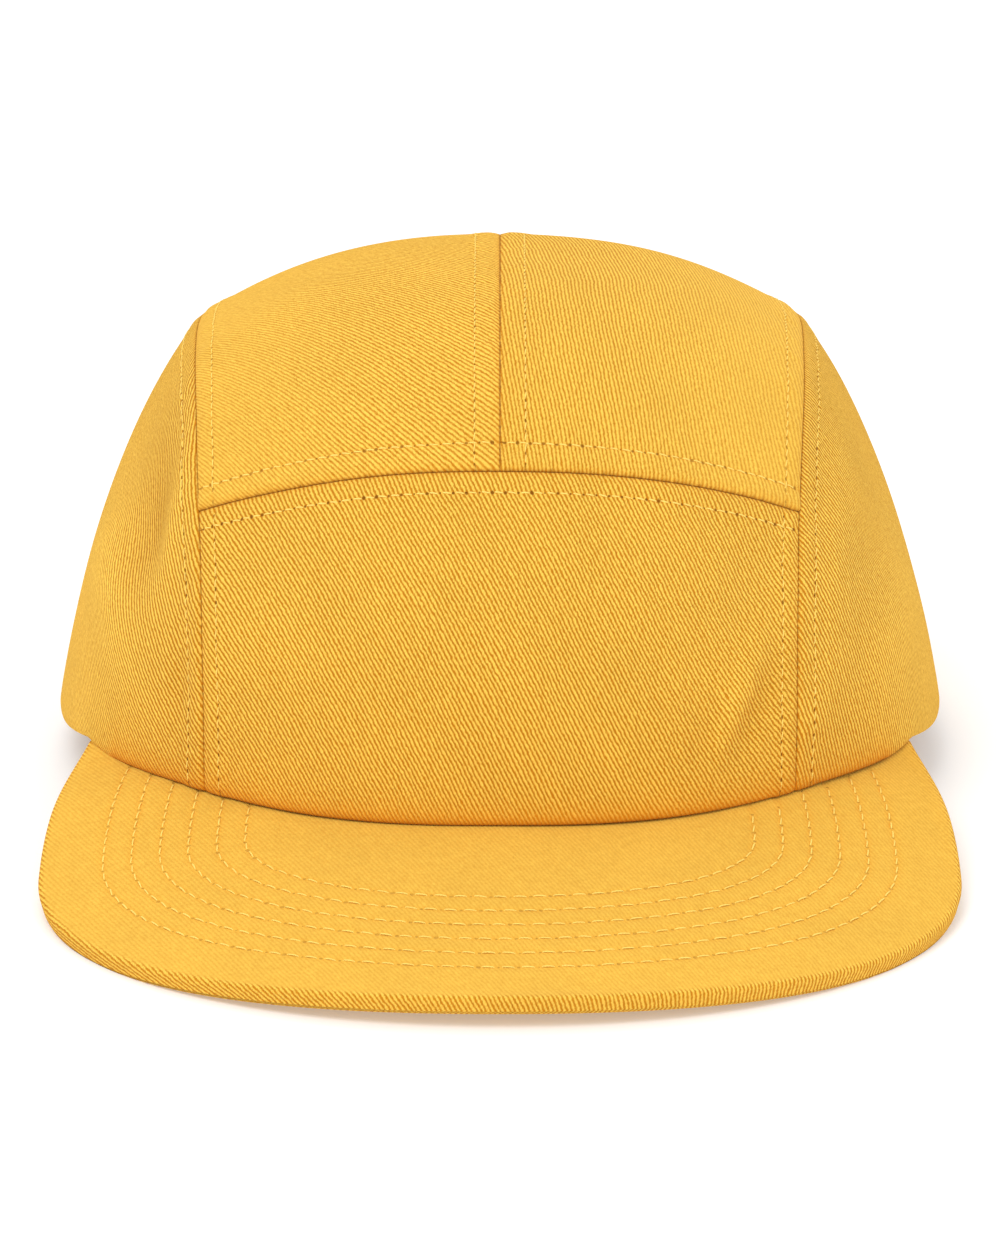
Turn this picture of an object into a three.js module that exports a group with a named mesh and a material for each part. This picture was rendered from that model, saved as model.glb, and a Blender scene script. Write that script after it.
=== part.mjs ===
// A five panel cap of cotton twill with a stiff curved peak.
// Millimetres. The crown is shaped on its rim plane, z = 0, with the front towards -Y.
// The whole cap is then pitched to the pose in which it rests on a flat surface.
import * as THREE from 'three';

// Rim and crown
const rimWidth = 170;
const rimLength = 194;
const crownHeight = 90;
const seamHeight = 74;
const cloth = 1.5;
const seamGap = 0.3;
const pieceGap = 0.4;

// The strip between the two side seams: its width at the front rim, over the head and at the back rim
const stripWidthFront = 110;
const stripWidthTop = 116;
const stripWidthBack = 86;

// The cut-out at the back, and the strap and clasp that close it
const openingWidth = 68;
const openingHeight = 38;
const strapWidth = 20;
const strapThickness = 1.4;
const strapLift = 3;
const strapOverlap = 6;
const claspWidth = 22;
const claspWall = 1.3;
const claspRail = 1.95;

// The band inside the rim
const bandHeight = 28;
const bandThickness = 1.2;
const bandSetUp = 0.8;

// The peak
const peakLength = 65;
const peakWidth = 169.6;
const peakThickness = 3.6;
const peakDroop = THREE.MathUtils.degToRad(13);
const peakBowRadius = 336;
const peakRootWidth = 152.6;

// How square each curve of the pattern is: 2 is an ellipse, more is squarer
const square = {
  frontProfile: 2.6,
  backProfile: 2.2,
  frontSeam: 2.45,
  backSeam: 2.55,
  stripSection: 2.37,
  sideTop: 3.75,
  sideRise: 1.24,
  peakFront: 2.06,
  peakCorner: 1.95,
  peakFlank: 2.2,
};

// The profile arches would stand upright this far below the rim, as a share of the crown's height
const uprightBelow = 0.133;
// The seam between the front panel and the top panels, as a share of the way from front rim to back rim
const archSeamAt = 0.215;
// The peak is widest this far behind its root line, as a share of its length
const widestBehind = 0.016;

// Soft dents of the resting cloth. across, up: place in the front view, as shares of half the rim's width
// and of the crown's height. wide, tall, deep: shares of the crown's height. lean: degrees from upright.
const dents = [
  { across: -0.80, up: 0.42, wide: 0.07, tall: 0.26, deep: 0.020, lean: -4 },
  { across: -0.93, up: 0.62, wide: 0.08, tall: 0.20, deep: 0.010, lean: 28 },
  { across: 0.56, up: 0.44, wide: 0.06, tall: 0.18, deep: 0.008, lean: 36 },
  { across: 0.86, up: 0.46, wide: 0.07, tall: 0.24, deep: 0.012, lean: 10 },
  { across: -0.40, up: 0.44, wide: 0.09, tall: 0.14, deep: 0.006, lean: -30 },
];

const a = rimWidth / 2;
const b = rimLength / 2;

const lerp = THREE.MathUtils.lerp;
const smooth = (low, high, x) => THREE.MathUtils.smoothstep(x, low, high);
const vector = (x, y, z) => new THREE.Vector3(x, y, z);

// Half the rim's length where the rim is 2 x wide
const rimReach = (x) => b * Math.sqrt(Math.max(0, 1 - (x / a) ** 2));

const seamReachFront = rimReach(stripWidthFront / 2);
const seamReachBack = rimReach(stripWidthBack / 2);

// A side-view arch from the front rim (v = 0) over the head to the back rim (v = 1)
function arch(v, reachFront, reachBack, height, squareFront, squareBack) {
  const below = uprightBelow * crownHeight;
  const foot = below / (height + below);
  const footFront = (1 - foot ** squareFront) ** (1 / squareFront);
  const footBack = (1 - foot ** squareBack) ** (1 / squareBack);
  const start = Math.atan2(foot, footFront);
  const end = Math.PI - Math.atan2(foot, footBack);
  const turn = lerp(start, end, v);
  const c = Math.cos(turn);
  const s = Math.sin(turn);
  const power = c >= 0 ? squareFront : squareBack;
  const radius = (Math.abs(c) ** power + Math.abs(s) ** power) ** (-1 / power);
  const y = c >= 0 ? (-reachFront * c * radius) / footFront : (-reachBack * c * radius) / footBack;
  return { y, z: s * radius * (height + below) - below };
}

const centreArch = (v) => arch(v, b, b, crownHeight, square.frontProfile, square.backProfile);
const seamArch = (v) => arch(v, seamReachFront, seamReachBack, seamHeight, square.frontSeam, square.backSeam);

// Half the strip's width where its seam lies at y
function stripHalfWidth(y) {
  const top = stripWidthTop / 2;
  if (y < 0) return top + (stripWidthFront / 2 - top) * (y / seamReachFront) ** 2;
  return top + (stripWidthBack / 2 - top) * (y / seamReachBack) ** 2;
}

// The strip's outer face: u runs from -1 at one side seam to 1 at the other
function stripPoint(u, v) {
  const centre = centreArch(v);
  const seam = seamArch(v);
  const share = Math.abs(u) ** square.stripSection;
  return vector(stripHalfWidth(seam.y) * u, lerp(centre.y, seam.y, share), lerp(centre.z, seam.z, share));
}

// How far out the point (y, z) lies in the side view, where 0 is the rim's middle and 1 the side seam
function sideShare(y, z) {
  const below = uprightBelow * crownHeight;
  const power = y < 0 ? square.frontSeam : square.backSeam;
  const foot = below / (seamHeight + below);
  const full = (y < 0 ? seamReachFront : seamReachBack) / (1 - foot ** power) ** (1 / power);
  let low = 1e-6;
  let high = 2;
  for (let i = 0; i < 40; i += 1) {
    const r = (low + high) / 2;
    const value = (Math.abs(y) / r / full) ** power + ((z / r + below) / (seamHeight + below)) ** power;
    if (value > 1) low = r;
    else high = r;
  }
  return (low + high) / 2;
}

// The side panel's outer face over the point (y, z) of the side view
function sidePoint(y, z, hand) {
  const r = sideShare(y, z);
  const rise = THREE.MathUtils.clamp(z / r / seamHeight, 0, 1);
  const power = lerp(2, square.sideTop, rise);
  const fall = r ** lerp(2, square.sideRise, rise);
  const seam = stripHalfWidth(y / r) / a;
  return vector(hand * a * (1 - (1 - seam ** power) * fall) ** (1 / power), y, z);
}

// The crown's outer line at the front half of the rim: the strip between the side seams, then the ellipse
function frontRim(x) {
  const half = stripWidthFront / 2;
  if (Math.abs(x) > half) return -rimReach(x);
  return lerp(-b, -seamReachFront, (Math.abs(x) / half) ** square.stripSection);
}

// A point on the inside of the wall along the peak's root, from one end (s = -1) to the other (s = 1)
const peakRootAngle = Math.asin(peakRootWidth / rimWidth);
function insideRim(s) {
  const x = a * Math.sin(peakRootAngle * s);
  const slope = (frontRim(x + 0.01) - frontRim(x - 0.01)) / 0.02;
  const setBack = cloth / Math.hypot(1, slope);
  return new THREE.Vector2(x - slope * setBack, frontRim(x) + setBack);
}

// The peak's upper face: x across, t forward of the root line along the drooping board
function peakPoint(x, t) {
  const sag = x ** 2 / (2 * peakBowRadius);
  const y = -b - t * Math.cos(peakDroop) + sag * Math.sin(peakDroop);
  return vector(x, y, -t * Math.sin(peakDroop) - sag * Math.cos(peakDroop));
}

// The same face as a height over (x, y), and the length t at that place
const peakRun = (x, y) => (x ** 2 / (2 * peakBowRadius) * Math.sin(peakDroop) - b - y) / Math.cos(peakDroop);
const peakHeight = (x, y) => peakPoint(x, peakRun(x, y)).z;

const peakRootBack = -rimReach(peakRootWidth / 2);
const peakRootHeight = peakHeight(insideRim(1).x, insideRim(1).y);

// The cloth's lower edge rides on the peak in front and comes down to the rim plane behind its ends
function seatOnPeak(p) {
  const height = Math.max(p.z, 0);
  const fade = Math.max(0, 1 - height / bandHeight) ** 2;
  const front = 1 - smooth(peakRootBack + cloth, peakRootBack + 2 * peakThickness, p.y);
  const seat = THREE.MathUtils.clamp(peakHeight(p.x, p.y), 0, peakRootHeight);
  const lift = (seat + pieceGap) * front * fade;
  return vector(p.x, p.y, height + lift);
}

// The dents' depth at a point: only on the front half, and above the band, which keeps the rim round
function dentDepth(p) {
  let depth = 0;
  for (const dent of dents) {
    const dx = p.x - dent.across * a;
    const dz = p.z - dent.up * crownHeight;
    const lean = THREE.MathUtils.degToRad(dent.lean);
    const along = dx * Math.sin(lean) + dz * Math.cos(lean);
    const over = dx * Math.cos(lean) - dz * Math.sin(lean);
    const fall = (over / (dent.wide * crownHeight)) ** 2 + (along / (dent.tall * crownHeight)) ** 2;
    depth += dent.deep * crownHeight * Math.exp(-fall);
  }
  return depth * (1 - smooth(-b / 5, 0, p.y)) * smooth(bandHeight, bandHeight * 1.6, p.z);
}

const inward = (p, normal, distance) => p.clone().addScaledVector(normal, -distance);

// The outward normal of a face given as a function of two numbers
function normalOf(face, s, t, step = 1e-3) {
  const alongS = face(s + step, t).sub(face(s - step, t));
  const alongT = face(s, t + step).sub(face(s, t - step));
  const normal = alongS.cross(alongT).normalize();
  const p = face(s, t);
  return normal.dot(vector(p.x, p.y, p.z + crownHeight / 4)) < 0 ? normal.negate() : normal;
}

// Where the strip and a side panel meet, both walls are cut along the line between their two normals
function seamNormal(v, hand) {
  const safe = THREE.MathUtils.clamp(v, 0.01, 0.99);
  const strip = normalOf(stripPoint, hand * 0.999, safe);
  const seam = seamArch(safe);
  const side = normalOf((y, z) => sidePoint(y, z, hand), seam.y * 0.98, seam.z * 0.98, 0.05);
  return strip.add(side).normalize();
}

// A closed wall between two faces, each given as rows of points
function wallMesh(name, outer, inner, material) {
  const rows = outer.length;
  const columns = outer[0].length;
  const index = (face, i, j) => face * rows * columns + i * columns + j;
  const positions = [];
  [outer, inner].flat(2).forEach((p) => positions.push(p.x, p.y, p.z));
  const triangles = [];
  const quad = (p, q, r, s) => triangles.push(p, q, r, p, r, s);
  for (let i = 0; i < rows - 1; i += 1) {
    for (let j = 0; j < columns - 1; j += 1) {
      quad(index(0, i, j), index(0, i, j + 1), index(0, i + 1, j + 1), index(0, i + 1, j));
      quad(index(1, i, j), index(1, i + 1, j), index(1, i + 1, j + 1), index(1, i, j + 1));
    }
  }
  for (let j = 0; j < columns - 1; j += 1) {
    quad(index(0, 0, j), index(1, 0, j), index(1, 0, j + 1), index(0, 0, j + 1));
    quad(index(0, rows - 1, j), index(0, rows - 1, j + 1), index(1, rows - 1, j + 1), index(1, rows - 1, j));
  }
  for (let i = 0; i < rows - 1; i += 1) {
    quad(index(0, i, 0), index(0, i + 1, 0), index(1, i + 1, 0), index(1, i, 0));
    quad(index(0, i, columns - 1), index(1, i, columns - 1), index(1, i + 1, columns - 1),
      index(0, i + 1, columns - 1));
  }
  return closedMesh(name, positions, triangles, material);
}

// Turns the triangles round if they face inwards, and makes the mesh
function closedMesh(name, positions, triangles, material) {
  const at = (i) => vector(positions[3 * i], positions[3 * i + 1], positions[3 * i + 2]);
  let volume = 0;
  for (let i = 0; i < triangles.length; i += 3) {
    volume += at(triangles[i]).dot(at(triangles[i + 1]).cross(at(triangles[i + 2])));
  }
  if (volume < 0) triangles.reverse();
  const geometry = new THREE.BufferGeometry();
  geometry.setAttribute('position', new THREE.Float32BufferAttribute(positions, 3));
  geometry.setIndex(triangles);
  geometry.computeVertexNormals();
  const mesh = new THREE.Mesh(geometry, material);
  mesh.name = name;
  return mesh;
}

// Rows of points over a rectangle of two numbers
function grid(rows, columns, point) {
  return Array.from({ length: rows + 1 }, (_, i) =>
    Array.from({ length: columns + 1 }, (__, j) => point(i / rows, j / columns)));
}

// One crown panel: face(s, t) and normal(s, t) give its outer side, with the dents pressed in
function panel(name, rows, columns, face, normal, material) {
  const dented = (s, t) => inward(face(s, t), normal(s, t), dentDepth(face(s, t)));
  const outer = grid(rows, columns, (s, t) => seatOnPeak(dented(s, t)));
  const inner = grid(rows, columns, (s, t) => seatOnPeak(inward(dented(s, t), normal(s, t), cloth)));
  return wallMesh(name, outer, inner, material);
}

const stripLength = 2 * (seamHeight + seamReachFront);
const edgeShareV = seamGap / 2 / stripLength;
const edgeShareU = seamGap / 2 / (stripWidthTop / 2);

// The strip's normal, turned to the shared cut line at its side seams
function stripNormal(u, v) {
  if (Math.abs(u) > 1 - 2 * edgeShareU) return seamNormal(v, Math.sign(u));
  return normalOf(stripPoint, u, THREE.MathUtils.clamp(v, 0.002, 0.998));
}

function frontPanel(material) {
  const u = (s) => lerp(-1 + edgeShareU, 1 - edgeShareU, s);
  const v = (t) => lerp(0, archSeamAt - edgeShareV, t);
  const face = (t, s) => stripPoint(u(s), v(t));
  return panel('front_panel', 11, 26, face, (t, s) => stripNormal(u(s), v(t)), material);
}

// Half the cut-out's width at the back rim as a share of the strip, and its height as a share of the way over
const openingShareU = openingWidth / stripWidthBack;
function shareAtHeight(z) {
  let low = 0.5;
  let high = 1;
  for (let i = 0; i < 30; i += 1) {
    const v = (low + high) / 2;
    if (centreArch(v).z > z) low = v;
    else high = v;
  }
  return low;
}
const openingShareV = 1 - shareAtHeight(openingHeight);

// The top panels end at the back rim, or at the edge of the cut-out
function topPanelEnd(u) {
  const across = Math.min(1, Math.abs(u) / openingShareU);
  return 1 - openingShareV * Math.sqrt(1 - across ** 2);
}

function topPanel(name, hand, material) {
  // More columns near the cut-out's foot, where its edge is steepest
  const inner = 7;
  const outerColumns = 4;
  const columns = inner + outerColumns;
  const u = (s) => {
    const step = s * columns;
    const eased = Math.sin((step / inner) * (Math.PI / 2));
    if (step <= inner) return hand * lerp(edgeShareU, openingShareU, eased);
    return hand * lerp(openingShareU, 1 - edgeShareU, (step - inner) / outerColumns);
  };
  const v = (t, s) => lerp(archSeamAt + edgeShareV, topPanelEnd(u(s)), t);
  const face = (t, s) => stripPoint(u(s), v(t, s));
  return panel(name, 26, columns, face, (t, s) => stripNormal(u(s), v(t, s)), material);
}

// The side panel as a four-sided patch of the side view, between the rim and three stretches of its seam
function sidePanel(name, hand, material) {
  const corner = { front: 0.26, back: 0.76 };
  const shrink = 1 - seamGap / 2 / seamHeight;
  const seam = (v) => {
    const p = seamArch(v);
    return new THREE.Vector2(p.y * shrink, p.z * shrink);
  };
  // Along the rim one column stands at the end of the peak's root
  const rootEnd = 5 / 24;
  const rim = (s) => {
    const y = s < rootEnd ? lerp(-seamReachFront, peakRootBack, s / rootEnd)
      : lerp(peakRootBack, seamReachBack, (s - rootEnd) / (1 - rootEnd));
    return new THREE.Vector2(y * shrink, 0);
  };
  const top = (s) => seam(lerp(corner.front, corner.back, s));
  const front = (t) => seam(corner.front * t);
  const back = (t) => seam(lerp(1, corner.back, t));
  const place = (t, s) => {
    const across = rim(s).multiplyScalar(1 - t).addScaledVector(top(s), t);
    const along = front(t).multiplyScalar(1 - s).addScaledVector(back(t), s);
    const corners = rim(0).multiplyScalar((1 - s) * (1 - t)).addScaledVector(rim(1), s * (1 - t))
      .addScaledVector(top(0), (1 - s) * t).addScaledVector(top(1), s * t);
    return across.add(along).sub(corners);
  };
  const face = (t, s) => {
    const p = place(t, s);
    return sidePoint(p.x, Math.max(p.y, 0), hand);
  };
  const seamShare = (t, s) => {
    if (s === 0) return corner.front * t;
    if (s === 1) return lerp(1, corner.back, t);
    return lerp(corner.front, corner.back, s);
  };
  const normal = (t, s) => {
    if (s === 0 || s === 1 || t === 1) return seamNormal(seamShare(t, s), hand);
    const p = place(t, s);
    return normalOf((y, z) => sidePoint(y, z, hand), p.x, Math.max(p.y, 0.1), 0.05);
  };
  return panel(name, 12, 24, face, normal, material);
}

// A level line round the crown's outer face at height z, from one side of the back to the other:
// legs of the strip behind the side seams, then the side panels and the front panel
function levelPoint(name, share, z) {
  const height = Math.max(z, 0);
  const find = (archAt, low, high, rising) => {
    let from = low;
    let to = high;
    for (let i = 0; i < 30; i += 1) {
      const v = (from + to) / 2;
      if (archAt(v).z < height === rising) from = v;
      else to = v;
    }
    return from;
  };
  let p;
  if (name === 'front') p = stripPoint(share, find((v) => stripPoint(share, v), 0, 0.4, true));
  else if (name === 'back') p = stripPoint(share, find((v) => stripPoint(share, v), 0.6, 1, false));
  else {
    const front = seamArch(find(seamArch, 0, 0.4, true)).y;
    const back = seamArch(find(seamArch, 0.6, 1, false)).y;
    p = sidePoint(lerp(front, back, share) * 0.9999, height, name === 'left' ? -1 : 1);
  }
  return vector(p.x, p.y, z);
}

// The stretches of that line in order, from the back left leg round the front to the back right leg
function levelLine(backShare) {
  const stretches = [
    { name: 'back', from: -backShare, to: -1, steps: 2 },
    { name: 'left', from: 1, to: 0, steps: 20 },
    { name: 'front', from: -1, to: 1, steps: 18 },
    { name: 'right', from: 0, to: 1, steps: 20 },
    { name: 'back', from: 1, to: backShare, steps: 2 },
  ];
  const columns = [];
  for (const stretch of stretches) {
    const first = columns.length === 0 ? 0 : 1;
    for (let i = first; i <= stretch.steps; i += 1) {
      columns.push({ name: stretch.name, share: lerp(stretch.from, stretch.to, i / stretch.steps) });
    }
  }
  return columns;
}

// A line of points moved inward, square to the wall, whose lean comes from a second line a little higher
function setIn(line, above, distance) {
  return line.map((p, i) => {
    const before = line[Math.max(0, i - 1)];
    const after = line[Math.min(line.length - 1, i + 1)];
    const along = after.clone().sub(before);
    const up = above[i].clone().sub(p);
    const normal = along.cross(up).normalize();
    if (normal.x * p.x + normal.y * p.y < 0) normal.negate();
    return inward(p, normal, distance);
  });
}

// A band on the inside of the crown; lower and upper give its edges over each foot of the wall
function bandMesh(name, columns, { lower, upper, thickness }, material) {
  const leanStep = 2;
  const rows = 4;
  const depth = cloth + pieceGap;
  const outer = [];
  const inner = [];
  for (let i = 0; i <= rows; i += 1) {
    const heights = columns.map((c) => {
      const foot = levelPoint(c.name, c.share, 0);
      return lerp(lower(foot), upper(foot), i / rows);
    });
    const line = columns.map((c, j) => levelPoint(c.name, c.share, heights[j]));
    const above = columns.map((c, j) => levelPoint(c.name, c.share, Math.max(heights[j], 0) + leanStep));
    const lean = line.map((p, j) => vector(above[j].x, above[j].y, p.z + leanStep));
    outer.push(setIn(line, lean, depth));
    inner.push(setIn(line, lean, depth + thickness));
  }
  return wallMesh(name, outer, inner, material);
}

const bandBackShare = (openingWidth / 2 + strapOverlap + 2 * pieceGap) / (stripWidthBack / 2);

function sweatband(material) {
  // In front the band reaches down over the peak's root, elsewhere it stays above the hem
  const lower = (foot) => {
    const front = 1 - smooth(peakRootBack - bandHeight / 2, peakRootBack, foot.y);
    return lerp(bandSetUp, peakHeight(foot.x, foot.y) - peakThickness + bandSetUp, front);
  };
  const columns = levelLine(Math.min(bandBackShare, 0.999));
  const edges = { lower, upper: () => bandHeight, thickness: bandThickness };
  return bandMesh('sweatband', columns, edges, material);
}

function backStrap(material) {
  const reach = (openingWidth / 2 + strapOverlap) / (stripWidthBack / 2);
  const columns = [];
  const steps = 24;
  for (let i = 0; i <= steps; i += 1) columns.push({ name: 'back', share: lerp(reach, -reach, i / steps) });
  const edges = { lower: () => strapLift, upper: () => strapLift + strapWidth, thickness: strapThickness };
  return bandMesh('back_strap', columns, edges, material);
}

// The clasp is a flat slide: a frame round the strap, swept straight along X
function clasp(material) {
  const middle = strapLift + strapWidth / 2;
  const depth = cloth + pieceGap + strapThickness / 2;
  const foot = levelPoint('back', 0, middle - 1);
  const head = levelPoint('back', 0, middle + 1);
  const up = head.clone().sub(foot).normalize();
  const out = vector(0, up.z, -up.y);
  const centre = levelPoint('back', 0, middle).addScaledVector(out, -depth);
  // The strap curves across the clasp's width and up its height, so the slot is that much deeper
  const side = levelPoint('back', claspWidth / stripWidthBack, middle);
  const top = levelPoint('back', 0, middle + strapWidth / 2);
  const face = centre.clone().addScaledVector(out, depth);
  const bulge = face.clone().sub(side).dot(out) + face.sub(top).dot(out);
  const slotHeight = strapWidth + 2 * pieceGap;
  const slotDepth = strapThickness + 2 * pieceGap + bulge;
  const frameHeight = slotHeight + 2 * claspRail;
  const frameDepth = slotDepth + 2 * claspWall;
  const corner = claspWall * 0.6;
  const shape = new THREE.Shape();
  const w = frameDepth / 2;
  const h = frameHeight / 2;
  shape.moveTo(-w + corner, -h);
  shape.lineTo(w - corner, -h);
  shape.quadraticCurveTo(w, -h, w, -h + corner);
  shape.lineTo(w, h - corner);
  shape.quadraticCurveTo(w, h, w - corner, h);
  shape.lineTo(-w + corner, h);
  shape.quadraticCurveTo(-w, h, -w, h - corner);
  shape.lineTo(-w, -h + corner);
  shape.quadraticCurveTo(-w, -h, -w + corner, -h);
  const slot = new THREE.Path();
  slot.moveTo(-slotDepth / 2, -slotHeight / 2);
  slot.lineTo(-slotDepth / 2, slotHeight / 2);
  slot.lineTo(slotDepth / 2, slotHeight / 2);
  slot.lineTo(slotDepth / 2, -slotHeight / 2);
  slot.closePath();
  shape.holes.push(slot);
  const geometry = new THREE.ExtrudeGeometry(shape, {
    depth: claspWidth, bevelEnabled: false, curveSegments: 3, steps: 1,
  });
  geometry.translate(0, 0, -claspWidth / 2);
  const mesh = new THREE.Mesh(geometry, material);
  mesh.name = 'clasp';
  const along = out.clone().cross(up);
  mesh.quaternion.setFromRotationMatrix(new THREE.Matrix4().makeBasis(out, up, along));
  mesh.position.copy(centre.addScaledVector(out, -bulge / 2));
  return mesh;
}

// The peak's outline on its board, from the middle of the front (s = 0) to the end of its root (s = 1)
function peakOutline() {
  const half = peakWidth / 2;
  const widest = -widestBehind * peakLength;
  const rootHalf = peakRootWidth / 2;
  const rootBack = peakRun(rootHalf, peakRootBack);
  const points = [];
  const steps = 160;
  for (let i = 0; i <= steps; i += 1) {
    const c = Math.sin(((i / steps) * Math.PI) / 2);
    const forward = Math.max(0, 1 - c ** square.peakFront) ** (1 / square.peakCorner);
    points.push(new THREE.Vector2(half * c, lerp(widest, peakLength, forward)));
  }
  for (let i = 1; i <= steps; i += 1) {
    const q = i / steps;
    const x = half - (half - rootHalf) * q ** square.peakFlank;
    points.push(new THREE.Vector2(x, lerp(widest, rootBack, q)));
  }
  const lengths = [0];
  for (let i = 1; i < points.length; i += 1) {
    lengths.push(lengths[i - 1] + points[i].distanceTo(points[i - 1]));
  }
  return (s) => {
    const target = Math.abs(s) * lengths[lengths.length - 1];
    let i = 1;
    while (i < lengths.length - 1 && lengths[i] < target) i += 1;
    const share = (target - lengths[i - 1]) / (lengths[i] - lengths[i - 1]);
    const p = points[i - 1].clone().lerp(points[i], Math.min(share, 1));
    return new THREE.Vector2(Math.sign(s) * p.x, p.y);
  };
}

function peak(material) {
  const outline = peakOutline();
  const root = (s) => {
    const p = insideRim(s);
    return new THREE.Vector2(p.x, peakRun(p.x, p.y));
  };
  // The flat faces take this share of the way from root to outline, and the rolled edge takes the rest.
  // back and down: how far in from the outline and how far down each row of the roll lies, in thicknesses
  const topShare = 0.94;
  const roll = [
    { back: 0.50, down: 0 },
    { back: 0.16, down: 0.14 },
    { back: 0, down: 0.40 },
    { back: 0, down: 0.60 },
    { back: 0.16, down: 0.86 },
    { back: 0.50, down: 1 },
  ];
  const columns = 60;
  const rows = 5;
  // Square to the board, but upright at its root, where it passes in front of the band
  const down = (x, q) => {
    const square = vector(-x / peakBowRadius, Math.sin(peakDroop), -Math.cos(peakDroop)).normalize();
    return square.lerp(vector(0, 0, -1), 1 - smooth(0, 0.3, q));
  };
  const middle = (s) => 1 - Math.abs(s) ** 12;
  const boardPoint = (s, q, depth) => {
    const p = root(s).lerp(outline(s), q);
    return peakPoint(p.x, p.y).addScaledVector(down(p.x, q * middle(s)), depth * peakThickness);
  };
  const edgePoint = (s, step) => {
    const p = outline(s);
    // The edge is set back towards the middle of the root
    p.addScaledVector(p.clone().normalize(), -step.back * peakThickness * middle(s));
    return peakPoint(p.x, p.y).addScaledVector(down(p.x, middle(s)), step.down * peakThickness);
  };
  const level = (i) => lerp(-1, 1, i / columns);
  const column = (s) => {
    const loop = [];
    for (let j = 0; j < rows; j += 1) loop.push(boardPoint(s, (j / rows) * topShare, 0));
    for (const step of roll) loop.push(edgePoint(s, step));
    for (let j = rows - 1; j >= 0; j -= 1) loop.push(boardPoint(s, (j / rows) * topShare, 1));
    return loop;
  };
  const loops = Array.from({ length: columns + 1 }, (_, i) => column(level(i)));
  const count = loops[0].length;
  const positions = loops.flat().flatMap((p) => [p.x, p.y, p.z]);
  const triangles = [];
  for (let i = 0; i < columns; i += 1) {
    for (let j = 0; j < count; j += 1) {
      const k = (j + 1) % count;
      const p = i * count + j;
      const q = i * count + k;
      triangles.push(p, p + count, q + count, p, q + count, q);
    }
  }
  for (const end of [0, columns]) {
    const base = end * count;
    for (let j = 0; j < count / 2 - 1; j += 1) {
      const p = base + j;
      const q = base + j + 1;
      const r = base + count - 2 - j;
      const s = base + count - 1 - j;
      const quad = end === 0 ? [p, q, r, p, r, s] : [p, r, q, p, s, r];
      triangles.push(...quad);
    }
  }
  return closedMesh('peak', positions, triangles, material);
}

const twill = new THREE.MeshStandardMaterial({ color: 0xeeb03c, roughness: 0.92, metalness: 0 });
const bandCloth = new THREE.MeshStandardMaterial({ color: 0xe6a83a, roughness: 0.95, metalness: 0 });
const plainPlastic = new THREE.MeshStandardMaterial({ color: 0xd9982c, roughness: 0.5, metalness: 0 });

const shaped = new THREE.Group();
shaped.add(
  frontPanel(twill),
  topPanel('top_panel_left', -1, twill),
  topPanel('top_panel_right', 1, twill),
  sidePanel('side_panel_left', -1, twill),
  sidePanel('side_panel_right', 1, twill),
  peak(twill),
  sweatband(bandCloth),
  backStrap(twill),
  clasp(plainPlastic),
);

// The height of the lowest point of the front half (half = -1) or the back half (half = 1) at some pitch
function lowest(pitch, half) {
  let low = Infinity;
  shaped.traverse((mesh) => {
    if (!mesh.isMesh) return;
    mesh.updateMatrix();
    const position = mesh.geometry.attributes.position;
    for (let i = 0; i < position.count; i += 1) {
      const p = vector(0, 0, 0).fromBufferAttribute(position, i).applyMatrix4(mesh.matrix);
      const height = p.z * Math.cos(pitch) - p.y * Math.sin(pitch);
      if (Math.sign(p.y) === half) low = Math.min(low, height);
    }
  });
  return low;
}

// Resting: the pitch at which the peak in front and the rim behind come down on one level
function restingPitch() {
  let low = 0;
  let high = Math.PI / 6;
  for (let i = 0; i < 30; i += 1) {
    const pitch = (low + high) / 2;
    if (lowest(pitch, -1) < lowest(pitch, 1)) low = pitch;
    else high = pitch;
  }
  return (low + high) / 2;
}

shaped.rotation.x = -restingPitch();
const cap = new THREE.Group();
cap.add(shaped);
cap.updateMatrixWorld(true);
const box = new THREE.Box3().setFromObject(cap, true);
const middle = box.getCenter(vector(0, 0, 0));
shaped.position.set(-middle.x, -middle.y, -box.min.z);
cap.updateMatrixWorld(true);

export default cap;
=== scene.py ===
"""A five panel cap of cotton twill with a quilted peak, dressed over its packed solids.

The pattern is drawn on the rim plane, in metres, with the front towards -Y. Each piece is
then pitched and moved to the pose in which the cap rests on a flat surface.
"""
import math
from collections import namedtuple

import bpy
import numpy as np
from bpy.props import FloatProperty, FloatVectorProperty, IntProperty, PointerProperty
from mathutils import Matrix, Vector
from mathutils.bvhtree import BVHTree


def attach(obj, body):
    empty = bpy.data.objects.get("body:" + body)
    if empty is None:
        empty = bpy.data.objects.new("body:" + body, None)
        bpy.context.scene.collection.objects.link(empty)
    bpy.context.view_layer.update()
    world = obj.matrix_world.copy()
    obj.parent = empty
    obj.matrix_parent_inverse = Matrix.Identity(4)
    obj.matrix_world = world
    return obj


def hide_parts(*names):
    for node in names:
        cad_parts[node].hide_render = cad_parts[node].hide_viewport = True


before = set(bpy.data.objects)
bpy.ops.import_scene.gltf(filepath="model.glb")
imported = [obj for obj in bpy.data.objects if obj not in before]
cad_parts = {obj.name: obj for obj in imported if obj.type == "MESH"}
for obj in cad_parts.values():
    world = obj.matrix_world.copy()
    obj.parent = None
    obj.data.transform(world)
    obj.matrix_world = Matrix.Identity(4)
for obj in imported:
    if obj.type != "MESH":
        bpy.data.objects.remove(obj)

bl_info = {
    "name": "Five Panel Cap",
    "version": (1, 0, 0),
    "blender": (4, 5, 0),
    "location": "3D Viewport > Sidebar > Cap",
    "description": "Sews a five panel cap with a quilted peak, piece by piece",
    "category": "Add Mesh",
}

MM = 0.001

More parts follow.
